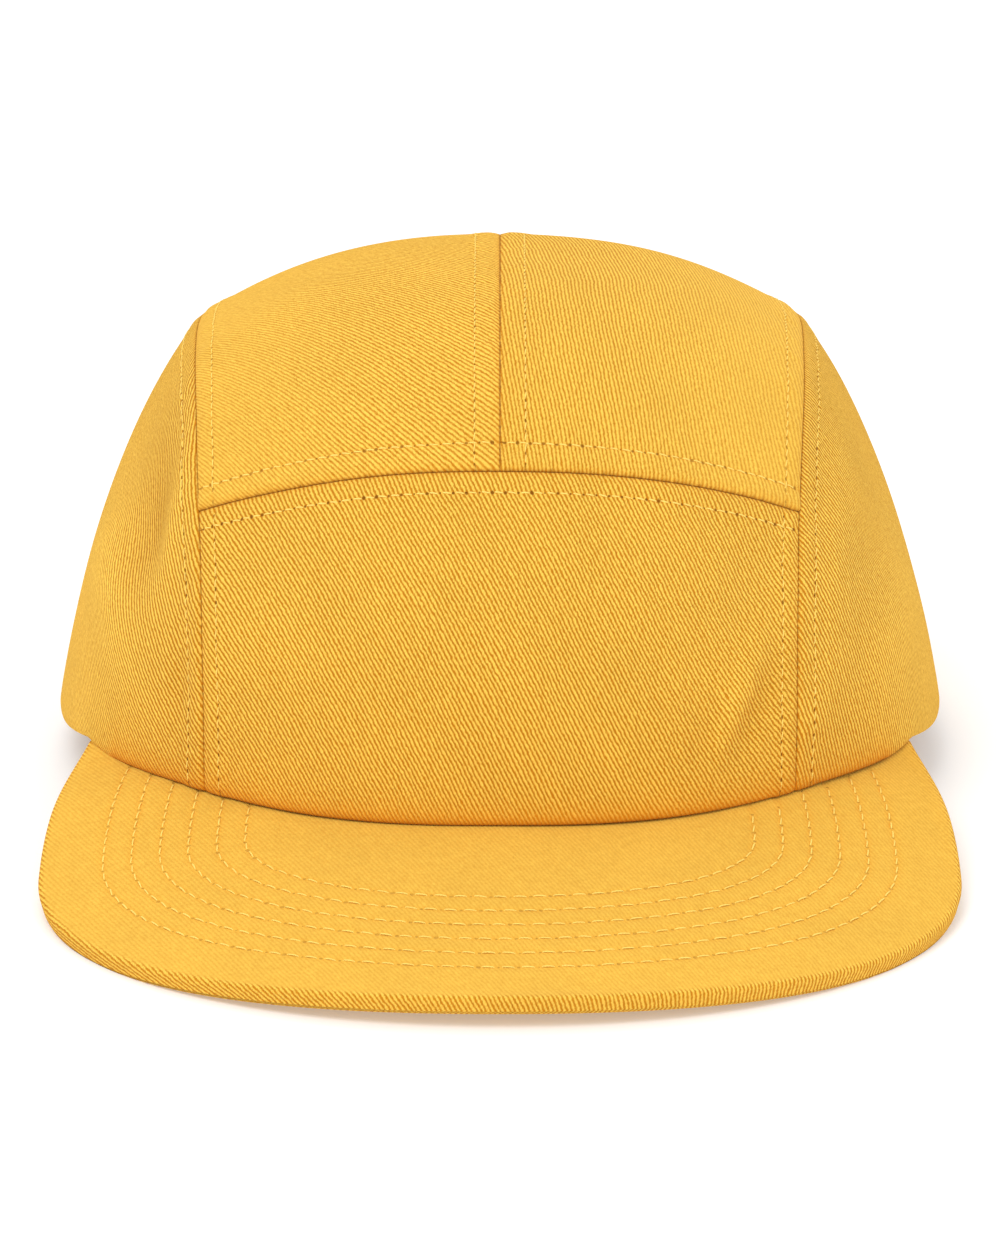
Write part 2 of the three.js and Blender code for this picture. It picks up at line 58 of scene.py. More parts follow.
# The pattern's sizes, named as in the solid part
RIM_WIDTH = 170 * MM
RIM_LENGTH = 194 * MM
CROWN_HEIGHT = 90 * MM
SEAM_HEIGHT = 74 * MM
CLOTH = 1.5 * MM
PIECE_GAP = 0.4 * MM
STRIP_WIDTH_FRONT = 110 * MM
STRIP_WIDTH_TOP = 116 * MM
STRIP_WIDTH_BACK = 86 * MM
OPENING_WIDTH = 68 * MM
OPENING_HEIGHT = 38 * MM
STRAP_WIDTH = 20 * MM
STRAP_THICKNESS = 1.4 * MM
STRAP_LIFT = 3 * MM
STRAP_OVERLAP = 6 * MM
BAND_HEIGHT = 28 * MM
BAND_THICKNESS = 1.2 * MM
BAND_SET_UP = 0.8 * MM
PEAK_LENGTH = 65.4 * MM
PEAK_WIDTH = 170.2 * MM
PEAK_THICKNESS = 3.6 * MM
PEAK_DROOP = math.radians(13)
PEAK_BOW_RADIUS = 336 * MM
PEAK_ROOT_WIDTH = 156.0 * MM
FRONT_PROFILE, BACK_PROFILE = 2.6, 2.2
FRONT_SEAM, BACK_SEAM = 2.45, 2.55
STRIP_SECTION = 2.37
SIDE_TOP, SIDE_RISE = 3.75, 1.24
PEAK_FRONT, PEAK_CORNER, PEAK_FLANK = 2.06, 1.95, 2.2
UPRIGHT_BELOW = 0.133
ARCH_SEAM_AT = 0.215
WIDEST_BEHIND = 0.016

# Soft dents of the resting cloth: across, up, wide, tall, deep, lean in degrees
DENTS = (
    (-0.80, 0.42, 0.07, 0.26, 0.020, -4),
    (-0.93, 0.62, 0.08, 0.20, 0.010, 28),
    (0.56, 0.44, 0.06, 0.18, 0.008, 36),
    (0.86, 0.46, 0.07, 0.24, 0.012, 10),
    (-0.40, 0.44, 0.09, 0.14, 0.006, -30),
)
# Soft folds above the rim, in the same way, that lie in where deep is negative
FOLDS = (
    (0.505, 0.195, 0.030, 0.120, 0.0120, 24),
    (0.550, 0.180, 0.030, 0.110, -0.0100, 22),
    (0.462, 0.150, 0.035, 0.090, -0.0070, 27),
    (-0.870, 0.330, 0.050, 0.160, 0.0120, -16),
    (-0.777, 0.525, 0.042, 0.170, -0.0170, 18),
    (-0.725, 0.520, 0.028, 0.140, 0.0110, 12),
    (-0.700, 0.230, 0.026, 0.110, -0.0090, 4),
    (0.700, 0.180, 0.035, 0.100, 0.0060, 14),
    (0.735, 0.420, 0.045, 0.200, 0.0070, 6),
    (0.900, 0.300, 0.060, 0.160, 0.0060, 18),
)

# The pose in which the cap rests: its pitch about X, then its shift
RESTING_PITCH = math.radians(-4.69245)
RESTING_SHIFT = np.array((0.0, 31.873658, 7.641553)) * MM

A = RIM_WIDTH / 2
B = RIM_LENGTH / 2
HAIR = 0.002 * MM  # a panel's mesh starts this close to its seam line
OVERLAP = 0.014 * MM  # and its edge then runs on by this much, under its neighbour
FINE_STEP = 0.17 * MM  # spacing of a panel's mesh at its seams
SHY = 0.004  # share of a seam by which a row of stitches stops short of its end
FAINT_SIDE, FAINT_CENTRE = 1.9, 2.3  # rows whose needle holes show less than the others
JUST_INSIDE = 0.9999  # keeps points of the crown's wall off its very edge
FAR = 30.0  # in mm, a distance at which nothing of a seam, a hem or a row shows
BAND_ROWS, STRAP_ROWS = (3 * MM, -3 * MM), (2 * MM, -2 * MM)  # from the lower and upper edge


# ---------------------------------------------------------------- the pattern's surfaces

def lerp(first, last, share):
    return first + (last - first) * share


def smooth(low, high, value):
    share = np.clip((value - low) / (high - low), 0, 1)
    return share * share * (3 - 2 * share)


def unit(vectors):
    return vectors / np.maximum(np.linalg.norm(vectors, axis=-1, keepdims=True), 1e-12)


def rim_reach(x):
    """Half the rim's length where the rim is 2 x wide."""
    return B * np.sqrt(np.maximum(0, 1 - (x / A) ** 2))


REACH_FRONT = float(rim_reach(STRIP_WIDTH_FRONT / 2))
REACH_BACK = float(rim_reach(STRIP_WIDTH_BACK / 2))


def arch(v, reach_front, reach_back, height, power_front, power_back):
    """A side view arch from the front rim, v = 0, over the head to the back rim, v = 1."""
    below = UPRIGHT_BELOW * CROWN_HEIGHT
    foot = below / (height + below)
    foot_front = (1 - foot ** power_front) ** (1 / power_front)
    foot_back = (1 - foot ** power_back) ** (1 / power_back)
    turn = lerp(math.atan2(foot, foot_front), math.pi - math.atan2(foot, foot_back), v)
    c, s = np.cos(turn), np.sin(turn)
    power = np.where(c >= 0, power_front, power_back)
    radius = (np.abs(c) ** power + np.abs(s) ** power) ** (-1 / power)
    reach = np.where(c >= 0, reach_front / foot_front, reach_back / foot_back)
    return -reach * c * radius, s * radius * (height + below) - below


def centre_arch(v):
    return arch(v, B, B, CROWN_HEIGHT, FRONT_PROFILE, BACK_PROFILE)


def seam_arch(v):
    return arch(v, REACH_FRONT, REACH_BACK, SEAM_HEIGHT, FRONT_SEAM, BACK_SEAM)


def strip_half_width(y):
    top = STRIP_WIDTH_TOP / 2
    front = top + (STRIP_WIDTH_FRONT / 2 - top) * (y / REACH_FRONT) ** 2
    back = top + (STRIP_WIDTH_BACK / 2 - top) * (y / REACH_BACK) ** 2
    return np.where(y < 0, front, back)


def strip_point(u, v):
    """The strip over the head: u from -1 at the left side seam to 1 at the right one."""
    centre_y, centre_z = centre_arch(v)
    seam_y, seam_z = seam_arch(v)
    share = np.abs(u) ** STRIP_SECTION
    across = strip_half_width(seam_y) * u
    return np.stack((across, lerp(centre_y, seam_y, share), lerp(centre_z, seam_z, share)), -1)


def side_share(y, z):
    """How far out (y, z) lies in the side view: 0 is the rim's middle and 1 the side seam."""
    below = UPRIGHT_BELOW * CROWN_HEIGHT
    power = np.where(y < 0, FRONT_SEAM, BACK_SEAM)
    foot = below / (SEAM_HEIGHT + below)
    full = np.where(y < 0, REACH_FRONT, REACH_BACK) / (1 - foot ** power) ** (1 / power)
    low = np.full(np.shape(y), 1e-6)
    high = np.full(np.shape(y), 2.0)
    for _ in range(40):
        r = (low + high) / 2
        value = (np.abs(y) / r / full) ** power
        value = value + (np.maximum(z / r + below, 0) / (SEAM_HEIGHT + below)) ** power
        low = np.where(value > 1, r, low)
        high = np.where(value > 1, high, r)
    return (low + high) / 2


def side_point(y, z, hand):
    """A side panel's outer face over the point (y, z) of the side view."""
    r = side_share(y, z)
    rise = np.clip(z / r / SEAM_HEIGHT, 0, 1)
    power = lerp(2, SIDE_TOP, rise)
    fall = r ** lerp(2, SIDE_RISE, rise)
    seam = strip_half_width(y / r) / A
    x = hand * A * np.maximum(1 - (1 - seam ** power) * fall, 0) ** (1 / power)
    return np.stack((x, y + 0 * x, z + 0 * x), -1)


def normals_of(face, s, t, step):
    """Outward normals of a face given as a function of two numbers."""
    along_s = face(s + step, t) - face(s - step, t)
    along_t = face(s, t + step) - face(s, t - step)
    normal = unit(np.cross(along_s, along_t))
    out = face(s, t) + np.array((0, 0, CROWN_HEIGHT / 4))
    return np.where((normal * out).sum(-1, keepdims=True) < 0, -normal, normal)


def strip_normal(u, v):
    return normals_of(strip_point, u, np.clip(v, 0.002, 0.998), 1e-3)


def side_normal(y, z, hand):
    def face(p, q):
        return side_point(p, q, hand)
    return normals_of(face, y, np.maximum(z, 0.1 * MM), 0.05 * MM)


def seam_normal(v, hand):
    """The normal that the strip and a side panel share along their seam."""
    safe = np.clip(v, 0.01, 0.99)
    y, z = seam_arch(safe)
    return unit(strip_normal(np.full(np.shape(safe), hand * 0.999), safe)
                + side_normal(y * 0.98, z * 0.98, hand))


def front_rim(x):
    """The crown's outer line at the front half of the rim."""
    half = STRIP_WIDTH_FRONT / 2
    share = np.minimum(np.abs(x) / half, 1) ** STRIP_SECTION
    return np.where(np.abs(x) > half, -rim_reach(x), lerp(-B, -REACH_FRONT, share))


PEAK_ROOT_ANGLE = math.asin(PEAK_ROOT_WIDTH / RIM_WIDTH)


def inside_rim(s):
    """The wall's inside along the peak's root, from one end, s = -1, to the other, s = 1."""
    x = A * np.sin(PEAK_ROOT_ANGLE * s)
    slope = (front_rim(x + 0.01 * MM) - front_rim(x - 0.01 * MM)) / (0.02 * MM)
    back = CLOTH / np.hypot(1, slope)
    return x - slope * back, front_rim(x) + back


def peak_point(x, t):
    """The peak's board: x across, t forward of the root line."""
    sag = x ** 2 / (2 * PEAK_BOW_RADIUS)
    y = -B - t * math.cos(PEAK_DROOP) + sag * math.sin(PEAK_DROOP)
    z = -t * math.sin(PEAK_DROOP) - sag * math.cos(PEAK_DROOP)
    return np.stack((x + 0 * t, y, z), -1)


def peak_run(x, y):
    sag = x ** 2 / (2 * PEAK_BOW_RADIUS)
    return (sag * math.sin(PEAK_DROOP) - B - y) / math.cos(PEAK_DROOP)


def peak_height(x, y):
    return peak_point(x, peak_run(x, y))[..., 2]


PEAK_ROOT_BACK = -float(rim_reach(PEAK_ROOT_WIDTH / 2))
PEAK_END_DROP = 2.3 * MM
HEM_GAP = 0.2 * MM  # between the crown's hem and the peak below it


def end_drop(y):
    """How far the peak's ends lie below its board, where the crown presses them down."""
    return PEAK_END_DROP * smooth(-72 * MM, -40 * MM, y)


PEAK_ROOT_HEIGHT = float(peak_height(*inside_rim(np.array(1.0)))) - float(end_drop(PEAK_ROOT_BACK))


def seat_on_peak(p):
    """The cloth's lower edge rides on the peak in front, and lies on the rim plane behind."""
    height = np.maximum(p[..., 2], 0)
    fade = np.maximum(0, 1 - height / BAND_HEIGHT) ** 2
    front = (1 - np.clip((p[..., 1] - PEAK_ROOT_BACK) / (30 * MM), 0, 1)) ** 1.6
    seat = peak_height(p[..., 0], p[..., 1]) - end_drop(p[..., 1])
    seat = np.where(p[..., 1] > PEAK_ROOT_BACK, PEAK_ROOT_HEIGHT, np.clip(seat, 0, 9 * MM))
    seated = p.copy()
    seated[..., 2] = height + (seat + HEM_GAP) * front * fade
    return seated


def humps(p, table, low, high):
    """The summed height of a table's soft humps in the front half, fading in over some heights."""
    height = 0
    for across, up, wide, tall, deep, lean in table:
        dx = p[..., 0] - across * A
        dz = p[..., 2] - up * CROWN_HEIGHT
        c, s = math.cos(math.radians(lean)), math.sin(math.radians(lean))
        along, over = dx * s + dz * c, dx * c - dz * s
        fall = (over / (wide * CROWN_HEIGHT)) ** 2 + (along / (tall * CROWN_HEIGHT)) ** 2
        height = height + deep * CROWN_HEIGHT * np.exp(-fall)
    return height * (1 - smooth(-B / 5, 0, p[..., 1])) * smooth(low, high, p[..., 2])


def rest(points):
    """From the rim plane to the pose in which the cap rests."""
    c, s = math.cos(RESTING_PITCH), math.sin(RESTING_PITCH)
    x, y, z = points[..., 0], points[..., 1], points[..., 2]
    return np.stack((x, y * c - z * s, y * s + z * c), -1) + RESTING_SHIFT


def rest_direction(vectors):
    return rest(vectors) - RESTING_SHIFT


# ---------------------------------------------------------------- lines on the cloth

def lengths_along(line):
    """The length from a line's first point to each of its points."""
    steps = np.linalg.norm(np.diff(line, axis=0), axis=1)
    return np.concatenate(((0,), np.cumsum(steps)))


def read_off(at, marks, values):
    """Rows of values, read off between their marks."""
    return np.stack([np.interp(at, marks, column) for column in values.T], -1)


class ClothLine:
    """A line on the cloth: an edge of a panel or a row of stitches."""

    def __init__(self, points, normals=None, faint=1.0):
        self.points, self.normals = points, normals
        self.faint = faint  # over 1 for a row whose stitches show less
        self.lengths = lengths_along(points)
        self.length = float(self.lengths[-1])

    def measure(self, places):
        """Each place's distance from the line, its length along it, and the line's point there."""
        start = self.points[:-1]
        span = self.points[1:] - start
        size = np.maximum((span ** 2).sum(1), 1e-18)
        steps = np.sqrt(size)
        distance, along, at = (np.empty(len(places)) for _ in range(3))
        # The nearest of every ninth point first, and then the stretches round it
        stride, chunk = 9, 8192
        marks = self.points[::stride]
        near = np.arange(-stride - 1, stride + 1)
        for first in range(0, len(places), chunk):
            p = places[first:first + chunk]
            square = (p ** 2).sum(1)[:, None] - 2 * p @ marks.T + (marks ** 2).sum(1)[None]
            choice = np.clip(square.argmin(1)[:, None] * stride + near[None], 0, len(span) - 1)
            reach = p[:, None, :] - start[choice]
            share = np.clip((reach * span[choice]).sum(2) / size[choice], 0, 1)
            square = ((reach - share[..., None] * span[choice]) ** 2).sum(2)
            pick = np.arange(len(p)), square.argmin(1)
            found = choice[pick]
            part = slice(first, first + len(p))
            distance[part] = np.sqrt(square[pick])
            along[part] = self.lengths[found] + share[pick] * steps[found]
            at[part] = found + share[pick]
        return distance, along, at

    def offset(self, places, normals):
        """Each place's distance from the line, negative on its right, and its length along it."""
        distance, along, at = self.measure(places)
        found = np.minimum(at.astype(int), len(self.points) - 2)
        way = self.points[found + 1] - self.points[found]
        reach = places - self.points[found] - way * (at - found)[:, None]
        right = (np.cross(way, normals) * reach).sum(1) > 0
        return np.where(right, -distance, distance), along

    def normal_at(self, at):
        return unit(read_off(at, np.arange(len(self.points)), self.normals))

    def at_lengths(self, lengths):
        return read_off(lengths, self.lengths, self.points)


def spaced(length, fine, coarse, growth=1.055):
    """Shares from 0 to 1 along a length, with fine steps at both ends and coarse ones between."""
    steps = []
    step, reach = fine, 0.0
    while reach + step < length / 2 and step < coarse:
        steps.append(step)
        reach += step
        step *= growth
    count = max(2, round((length - 2 * reach) / coarse))
    middle = [(length - 2 * reach) / count] * count
    marks = np.cumsum([0.0] + steps + middle + steps[::-1])
    return marks / marks[-1]


def pairs(x, y):
    """Points or ways in the plane; either part may be one number for all of them."""
    return np.stack(np.broadcast_arrays(x, y), -1).astype(float)


def row_beside(surface, start, toward, edge, distance, reach):
    """Points of a surface at a distance from an edge line, each found along its own way in."""
    low, high = np.zeros(len(start)), np.full(len(start), reach)
    for _ in range(26):
        middle = (low + high) / 2
        place = start + toward * middle[:, None]
        near = edge.measure(surface(place[:, 0], place[:, 1]))[0] < distance
        low, high = np.where(near, middle, low), np.where(near, high, middle)
    place = start + toward * high[:, None]
    return surface(place[:, 0], place[:, 1])


def waves(along, lengths, seed):
    """A wandering line between about -1 and 1, made of a few waves."""
    chance = np.random.default_rng(seed)
    total = 0
    for length in lengths:
        swing = along * (2 * math.pi / length) * chance.uniform(0.9, 1.1)
        total = total + np.sin(swing + chance.uniform(0, 6.28))
    return total / len(lengths) ** 0.75


def drift(points, size, seed):
    """A slow wander through space between about -1 and 1, with humps of about this size."""
    chance = np.random.default_rng(seed)
    total = 0
    for _ in range(7):
        way = unit(chance.normal(size=3)) * chance.uniform(0.7, 1.4) / size
        total = total + np.sin(points @ way * 2 * math.pi / 2 + chance.uniform(0, 6.28))
    return total / 7 ** 0.6


# ---------------------------------------------------------------- meshes

def new_piece(name, points, polygons, maps=None, material=None):
    """A smooth mesh object. polygons is a list of arrays, one for each number of corners."""
    mesh = bpy.data.meshes.new(name)
    corners = np.concatenate([p.ravel() for p in polygons]).astype(np.int32)
    totals = np.concatenate([np.full(len(p), p.shape[1]) for p in polygons]).astype(np.int32)
    starts = np.concatenate(((0,), np.cumsum(totals)[:-1])).astype(np.int32)
    mesh.vertices.add(len(points))
    mesh.vertices.foreach_set("co", points.astype(np.float32).ravel())
    mesh.loops.add(len(corners))
    mesh.loops.foreach_set("vertex_index", corners)
    mesh.polygons.add(len(totals))
    mesh.polygons.foreach_set("loop_start", starts)
    mesh.polygons.foreach_set("use_smooth", np.ones(len(totals), bool))
    owner = np.repeat(np.arange(len(totals)), totals)
    for map_name, values in (maps or {}).items():
        layer = mesh.uv_layers.new(name=map_name)
        values = values(corners, owner) if callable(values) else values[corners]
        layer.uv.foreach_set("vector", values.astype(np.float32).ravel())
    mesh.update(calc_edges=True)
    mesh.validate()
    piece = bpy.data.objects.new(name, mesh)
    bpy.context.scene.collection.objects.link(piece)
    if material is not None:
        mesh.materials.append(material)
    return piece


def dress(piece, slot, *nodes):
    """The piece rides on the cap's one body and stands for its nodes."""
    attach(piece, "root")
    if nodes:
        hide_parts(*nodes)
    return piece


def outward(points, polygons):
    """The same polygons, turned round if they enclose the points the wrong way."""
    volume = 0.0
    for p in polygons:
        for k in range(1, p.shape[1] - 1):
            first, second, third = points[p[:, 0]], points[p[:, k]], points[p[:, k + 1]]
            volume += (first * np.cross(second, third)).sum()
    return [p[:, ::-1] for p in polygons] if volume < 0 else polygons


def shell_quads(rows, columns):
    """A closed shell of two grids, one behind the other, joined round their borders."""
    index = np.arange(rows * columns).reshape(rows, columns)
    back = index + rows * columns
    quads = [
        np.stack([index[:-1, :-1], index[:-1, 1:], index[1:, 1:], index[1:, :-1]], -1),
        np.stack([back[:-1, :-1], back[1:, :-1], back[1:, 1:], back[:-1, 1:]], -1),
    ]
    quads = [grid.reshape(-1, 4) for grid in quads]
    border = np.concatenate((index[0, :], index[1:, -1], index[-1, -2::-1], index[-2:0:-1, 0]))
    behind = border + rows * columns
    quads.append(np.stack((border, behind, np.roll(behind, -1), np.roll(border, -1)), -1))
    return [np.concatenate(quads)]


def fold(gap, radius):
    """How far a face is drawn back near an edge that is folded round with this radius."""
    near = np.clip(1 - gap / radius, 0, 1)
    return 1 - np.sqrt(1 - near ** 2)


# A panel of the crown: the node it stands for, its face and normals, its seams and free edges,
# its rows of stitches, its arch seam and how far it laps over that, a seed for its puckers, and
# how strongly the twill's ridges, with their painted light and shade, show at each point of the
# face
Panel = namedtuple("Panel", "node surface normal seams free rows arch lap seed weave")


def nearest_line(lines, places):
    """For each place, the distance to the nearest of some lines, the length along it, and which."""
    distance = np.full(len(places), 1.0)
    along, at = np.zeros((2, len(places)))
    which = np.zeros(len(places), int)
    for k, line in enumerate(lines):
        d, length, point = line.measure(places)
        near = d < distance
        distance[near], along[near], at[near], which[near] = d[near], length[near], point[near], k
    return distance, along, at, which


def rows_beside(rows, places, normals, pitch):
    """The rows at some places: the distance to the nearest, the length along it, and their map.

    In the map, all the corners of a polygon are measured from one row. The corners may count
    on into a second face that lies behind the first.
    """
    found = [row.offset(places, normals) for row in rows]
    off = np.stack([offset for offset, _ in found])
    along = np.stack([length for _, length in found])
    faint = np.array([row.faint for row in rows])
    nearest = np.abs(off).argmin(0)
    index = np.arange(len(places))

    def values(corners, owner):
        corners = corners % len(places)
        first = np.flatnonzero(np.diff(owner, prepend=-1))
        gaps = np.stack([np.minimum.reduceat(np.abs(part[corners]), first) for part in off])
        which = gaps.argmin(0)[owner]
        return np.stack((along[which, corners], faint[which] * off[which, corners]), -1) / pitch

    return np.abs(off[nearest, index]), along[nearest, index], values


def meeting(face, seam, shape):
    """How far points along the seams move out, so that two panels sewn together overlap a hair."""
    grid, near = face.reshape(*shape, 3), seam.reshape(shape) < 0.02 * MM
    shift = np.zeros_like(grid)
    whole = slice(None)
    for edge, within in (((0, whole), (1, whole)), ((-1, whole), (-2, whole)),
                         ((whole, 0), (whole, 1)), ((whole, -1), (whole, -2))):
        way = grid[edge] - grid[within]
        way = way / np.maximum(np.linalg.norm(way, axis=-1, keepdims=True), 1e-9)
        shift[edge] = np.where(near[edge][:, None], way * OVERLAP, shift[edge])
    return shift.reshape(-1, 3)


def sew_panel(panel, s, t, cloth_map, sizes, stitches, material):
    """The panel as a closed shell, with rolled seams, raised allowances, channels and puckers."""
    shape = s.shape
    face = panel.surface(s, t).reshape(-1, 3)
    normal = panel.normal(s, t).reshape(-1, 3)
    seam, seam_along, at, which = nearest_line(panel.seams, face)
    for k, line in enumerate(panel.seams):
        if line.normals is None:
            continue
        near = (which == k) & (seam < 5 * MM)
        share = (1 - smooth(0, 5 * MM, seam[near]))[:, None]
        normal[near] = unit(lerp(normal[near], line.normal_at(at[near]), share))
    free = nearest_line(panel.free, face)[0]
    row, row_along, sewing = rows_beside(panel.rows, face, normal, stitches.pitch)
    width = sizes.allowance

    folds = humps(face, FOLDS, 4 * MM, 14 * MM)
    dents = humps(face, DENTS, BAND_HEIGHT, BAND_HEIGHT * 1.6) - folds
    calm = smooth(BAND_HEIGHT * 0.5, BAND_HEIGHT * 1.3, face[:, 2])
    sway = sizes.wander * drift(face, 42 * MM, 15) * calm
    sway += sizes.wander * 0.35 * drift(face, 17 * MM, 19) * calm
    middle = face + normal * (sway - dents)[:, None] + meeting(face, seam, shape)

    # The outer face
    roll = sizes.seam_depth * fold(seam, sizes.seam_roll)
    raised = smooth(0.2 * MM, 1.5 * MM, seam) * (1 - smooth(width, width + 2.2 * MM, seam))
    beat = 0.6 + 0.4 * np.cos(2 * math.pi * (row_along / stitches.pitch))
    channel = sizes.channel * np.exp(-(row / (0.62 * MM)) ** 2) * beat
    swell = smooth(0.5 * MM, 2.5 * MM, seam) * np.exp(-np.maximum(seam - 2 * MM, 0) / (5.5 * MM))
    pucker = sizes.pucker * swell * waves(seam_along, (7.3 * MM, 11.9 * MM, 19 * MM), panel.seed)
    pucker += 0.35 * sizes.pucker * swell * waves(seam_along, (3.1 * MM, 4.7 * MM), panel.seed + 9)
    hem = sizes.hem_depth * fold(free, sizes.hem_roll)
    lift = sizes.raise_by * raised + pucker - roll - channel - hem
    # The arch seam is the strong one; the others show less. Over it the top panels are folded
    # under, and stand a little proud of the front panel
    # The other seams' distances are drawn out by half again, so that their painted seam shade is
    # narrower
    faint = np.full(len(face), 1.5)
    if panel.arch is not None:
        arch_gap = panel.arch.measure(face)[0]
        faint[arch_gap <= seam + 1e-9] = 1.0
        lift -= 0.12 * MM * fold(arch_gap, 0.9 * MM)
        near = 1 - smooth(1.0 * MM, 5.0 * MM, arch_gap)
        lift += panel.lap * near * smooth(0, 0.6 * MM, arch_gap)
    outer = middle + normal * lift[:, None]

    # The inner face, where the allowances lie above the band
    inside = smooth(BAND_HEIGHT + 1 * MM, BAND_HEIGHT + 5 * MM, face[:, 2])
    flap = 0.35 * MM * (1 - smooth(width + 0.6 * MM, width + 1.3 * MM, seam)) * inside
    inner_lift = flap + 0.5 * pucker * inside - 0.3 * channel
    inner_lift -= 0.4 * MM * fold(seam, 0.7 * MM) + 0.5 * MM * fold(free, 0.7 * MM)
    inner = middle - normal * (CLOTH + inner_lift)[:, None]

    # Painted light and shade: the warm light that the peak throws on the hem above it, and the
    # shade there, are painted into the hem's colour by this distance from the hem, which is far off
    # away from the peak
    glow = free / MM + FAR * smooth(PEAK_ROOT_BACK - 12 * MM, PEAK_ROOT_BACK + 4 * MM, face[:, 1])
    # The seam map's distances place the painted shade in the seams, and the relief map's heights
    # the painted shade and light of the folds
    maps = {
        "cloth": np.tile(cloth_map.reshape(-1, 2), (2, 1)),
        "sewing": sewing,
        "seam": np.tile(pairs(seam_along / MM, seam * faint / MM), (2, 1)),
        "finish": np.tile(pairs(panel.weave(face), glow), (2, 1)),
        "relief": np.tile(pairs(folds / MM, 0), (2, 1)),
    }
    points = rest(np.concatenate((seat_on_peak(outer), seat_on_peak(inner))))
    quads = outward(points, shell_quads(*shape))
    piece = new_piece("sewn_" + panel.node, points, quads, maps, material)
    return dress(piece, "twill", panel.node)


# ---------------------------------------------------------------- the crown's pattern pieces

def side_name(hand):
    return "left" if hand < 0 else "right"


def seam_line(hand, first=0.0, last=1.0, count=260):
    v = np.linspace(first, last, count)
    y, z = seam_arch(v)
    points = np.stack((hand * strip_half_width(y), y, z), -1)
    return ClothLine(points, seam_normal(v, hand))


def strip_row(hand, first, last, distance):
    """A row on the strip beside one side seam, between two shares of the way over the head."""
    v = np.linspace(first, last, 150)
    edge = seam_line(hand)
    points = row_beside(strip_point, pairs(hand, v), pairs(-hand, 0 * v), edge, distance, 0.5)
    return ClothLine(points, None, FAINT_SIDE)


def arch_line(first=-1.0, last=1.0):
    return ClothLine(strip_point(np.linspace(first, last, 200), np.full(200, ARCH_SEAM_AT)))


def arch_row(side, first, last, middle_distance, end_distance):
    """A row beside the arch seam: side -1 lies on the front panel, 1 on the top panels."""
    u = np.linspace(first, last, 160)
    distance = lerp(middle_distance, end_distance, np.abs(u) ** 2)
    return ClothLine(row_beside(strip_point, pairs(u, ARCH_SEAM_AT), pairs(0 * u, side),
                                arch_line(), distance, 0.12))


def front_pattern(sizes):
    rows = [strip_row(hand, SHY, ARCH_SEAM_AT - SHY, sizes.front_row) for hand in (-1, 1)]
    rows.append(arch_row(-1, -0.985, 0.985, sizes.arch_row_below, sizes.arch_row_below * 0.9))
    seams = [seam_line(hand, 0, ARCH_SEAM_AT + 0.01, 120) for hand in (-1, 1)] + [arch_line()]
    rim = ClothLine(strip_point(np.linspace(-1, 1, 150), np.zeros(150)))
    return Panel("front_panel", strip_point, strip_normal, seams, [rim], rows, seams[-1], 0.0, 11,
                 lambda p: 1.0)


OPENING_SHARE_U = OPENING_WIDTH / STRIP_WIDTH_BACK


def share_at_height(z):
    low, high = 0.5, 1.0
    for _ in range(30):
        v = (low + high) / 2
        low, high = (v, high) if float(centre_arch(v)[1]) > z else (low, v)
    return low


OPENING_SHARE_V = 1 - share_at_height(OPENING_HEIGHT)


def top_panel_end(u):
    across = np.minimum(1, np.abs(u) / OPENING_SHARE_U)
    return 1 - OPENING_SHARE_V * np.sqrt(1 - across ** 2)


def opening_turns(hand):
    """The cut-out's edge on one top panel, from the centre seam to its foot on the rim."""
    turn = np.linspace(0, math.pi / 2, 110)
    return turn, pairs(hand * OPENING_SHARE_U * np.sin(turn), 1 - OPENING_SHARE_V * np.cos(turn))


def opening_line(hand):
    return ClothLine(strip_point(*opening_turns(hand)[1].T))


def opening_row(hand, distance):
    """The row along the cut-out's edge, on one top panel."""
    turn, start = opening_turns(hand)
    toward = pairs(hand * np.sin(turn) * 0.6, -0.3 * np.cos(turn))
    points = row_beside(strip_point, start, toward, opening_line(hand), distance, 0.4)
    return ClothLine(points[np.abs(points[:, 0]) > HAIR])


def top_pattern(hand, sizes):
    v = np.linspace(ARCH_SEAM_AT + SHY, 1 - OPENING_SHARE_V - 0.006, 200)
    off_centre = hand * 1e-4
    middle = ClothLine(strip_point(np.full(240, off_centre), np.linspace(ARCH_SEAM_AT, 1, 240)))
    centre = row_beside(strip_point, pairs(off_centre, v), pairs(hand, 0 * v), middle,
                        sizes.centre_row, 0.5)
    ends = (0.015, 0.985) if hand > 0 else (-0.985, -0.015)
    rows = [
        ClothLine(centre, None, FAINT_CENTRE),
        strip_row(hand, ARCH_SEAM_AT + SHY, 0.992, sizes.front_row),
        arch_row(1, *ends, sizes.arch_row_above, sizes.arch_row_above * 0.74),
        opening_row(hand, sizes.hem_row),
    ]
    rim = ClothLine(strip_point(np.linspace(hand * OPENING_SHARE_U, hand, 30), np.ones(30)))
    edge = arch_line(0, hand)
    seams = [seam_line(hand, ARCH_SEAM_AT - 0.01, 1, 220), middle, edge]
    return Panel("top_panel_" + side_name(hand), strip_point, strip_normal, seams,
                 [opening_line(hand), rim], rows, edge, sizes.lap, 23 + hand,
                 lambda p: 0.80 - 0.40 * smooth(0.2 * A, 0.7 * A, np.abs(p[:, 0])))


CORNER_FRONT, CORNER_BACK = 0.26, 0.76


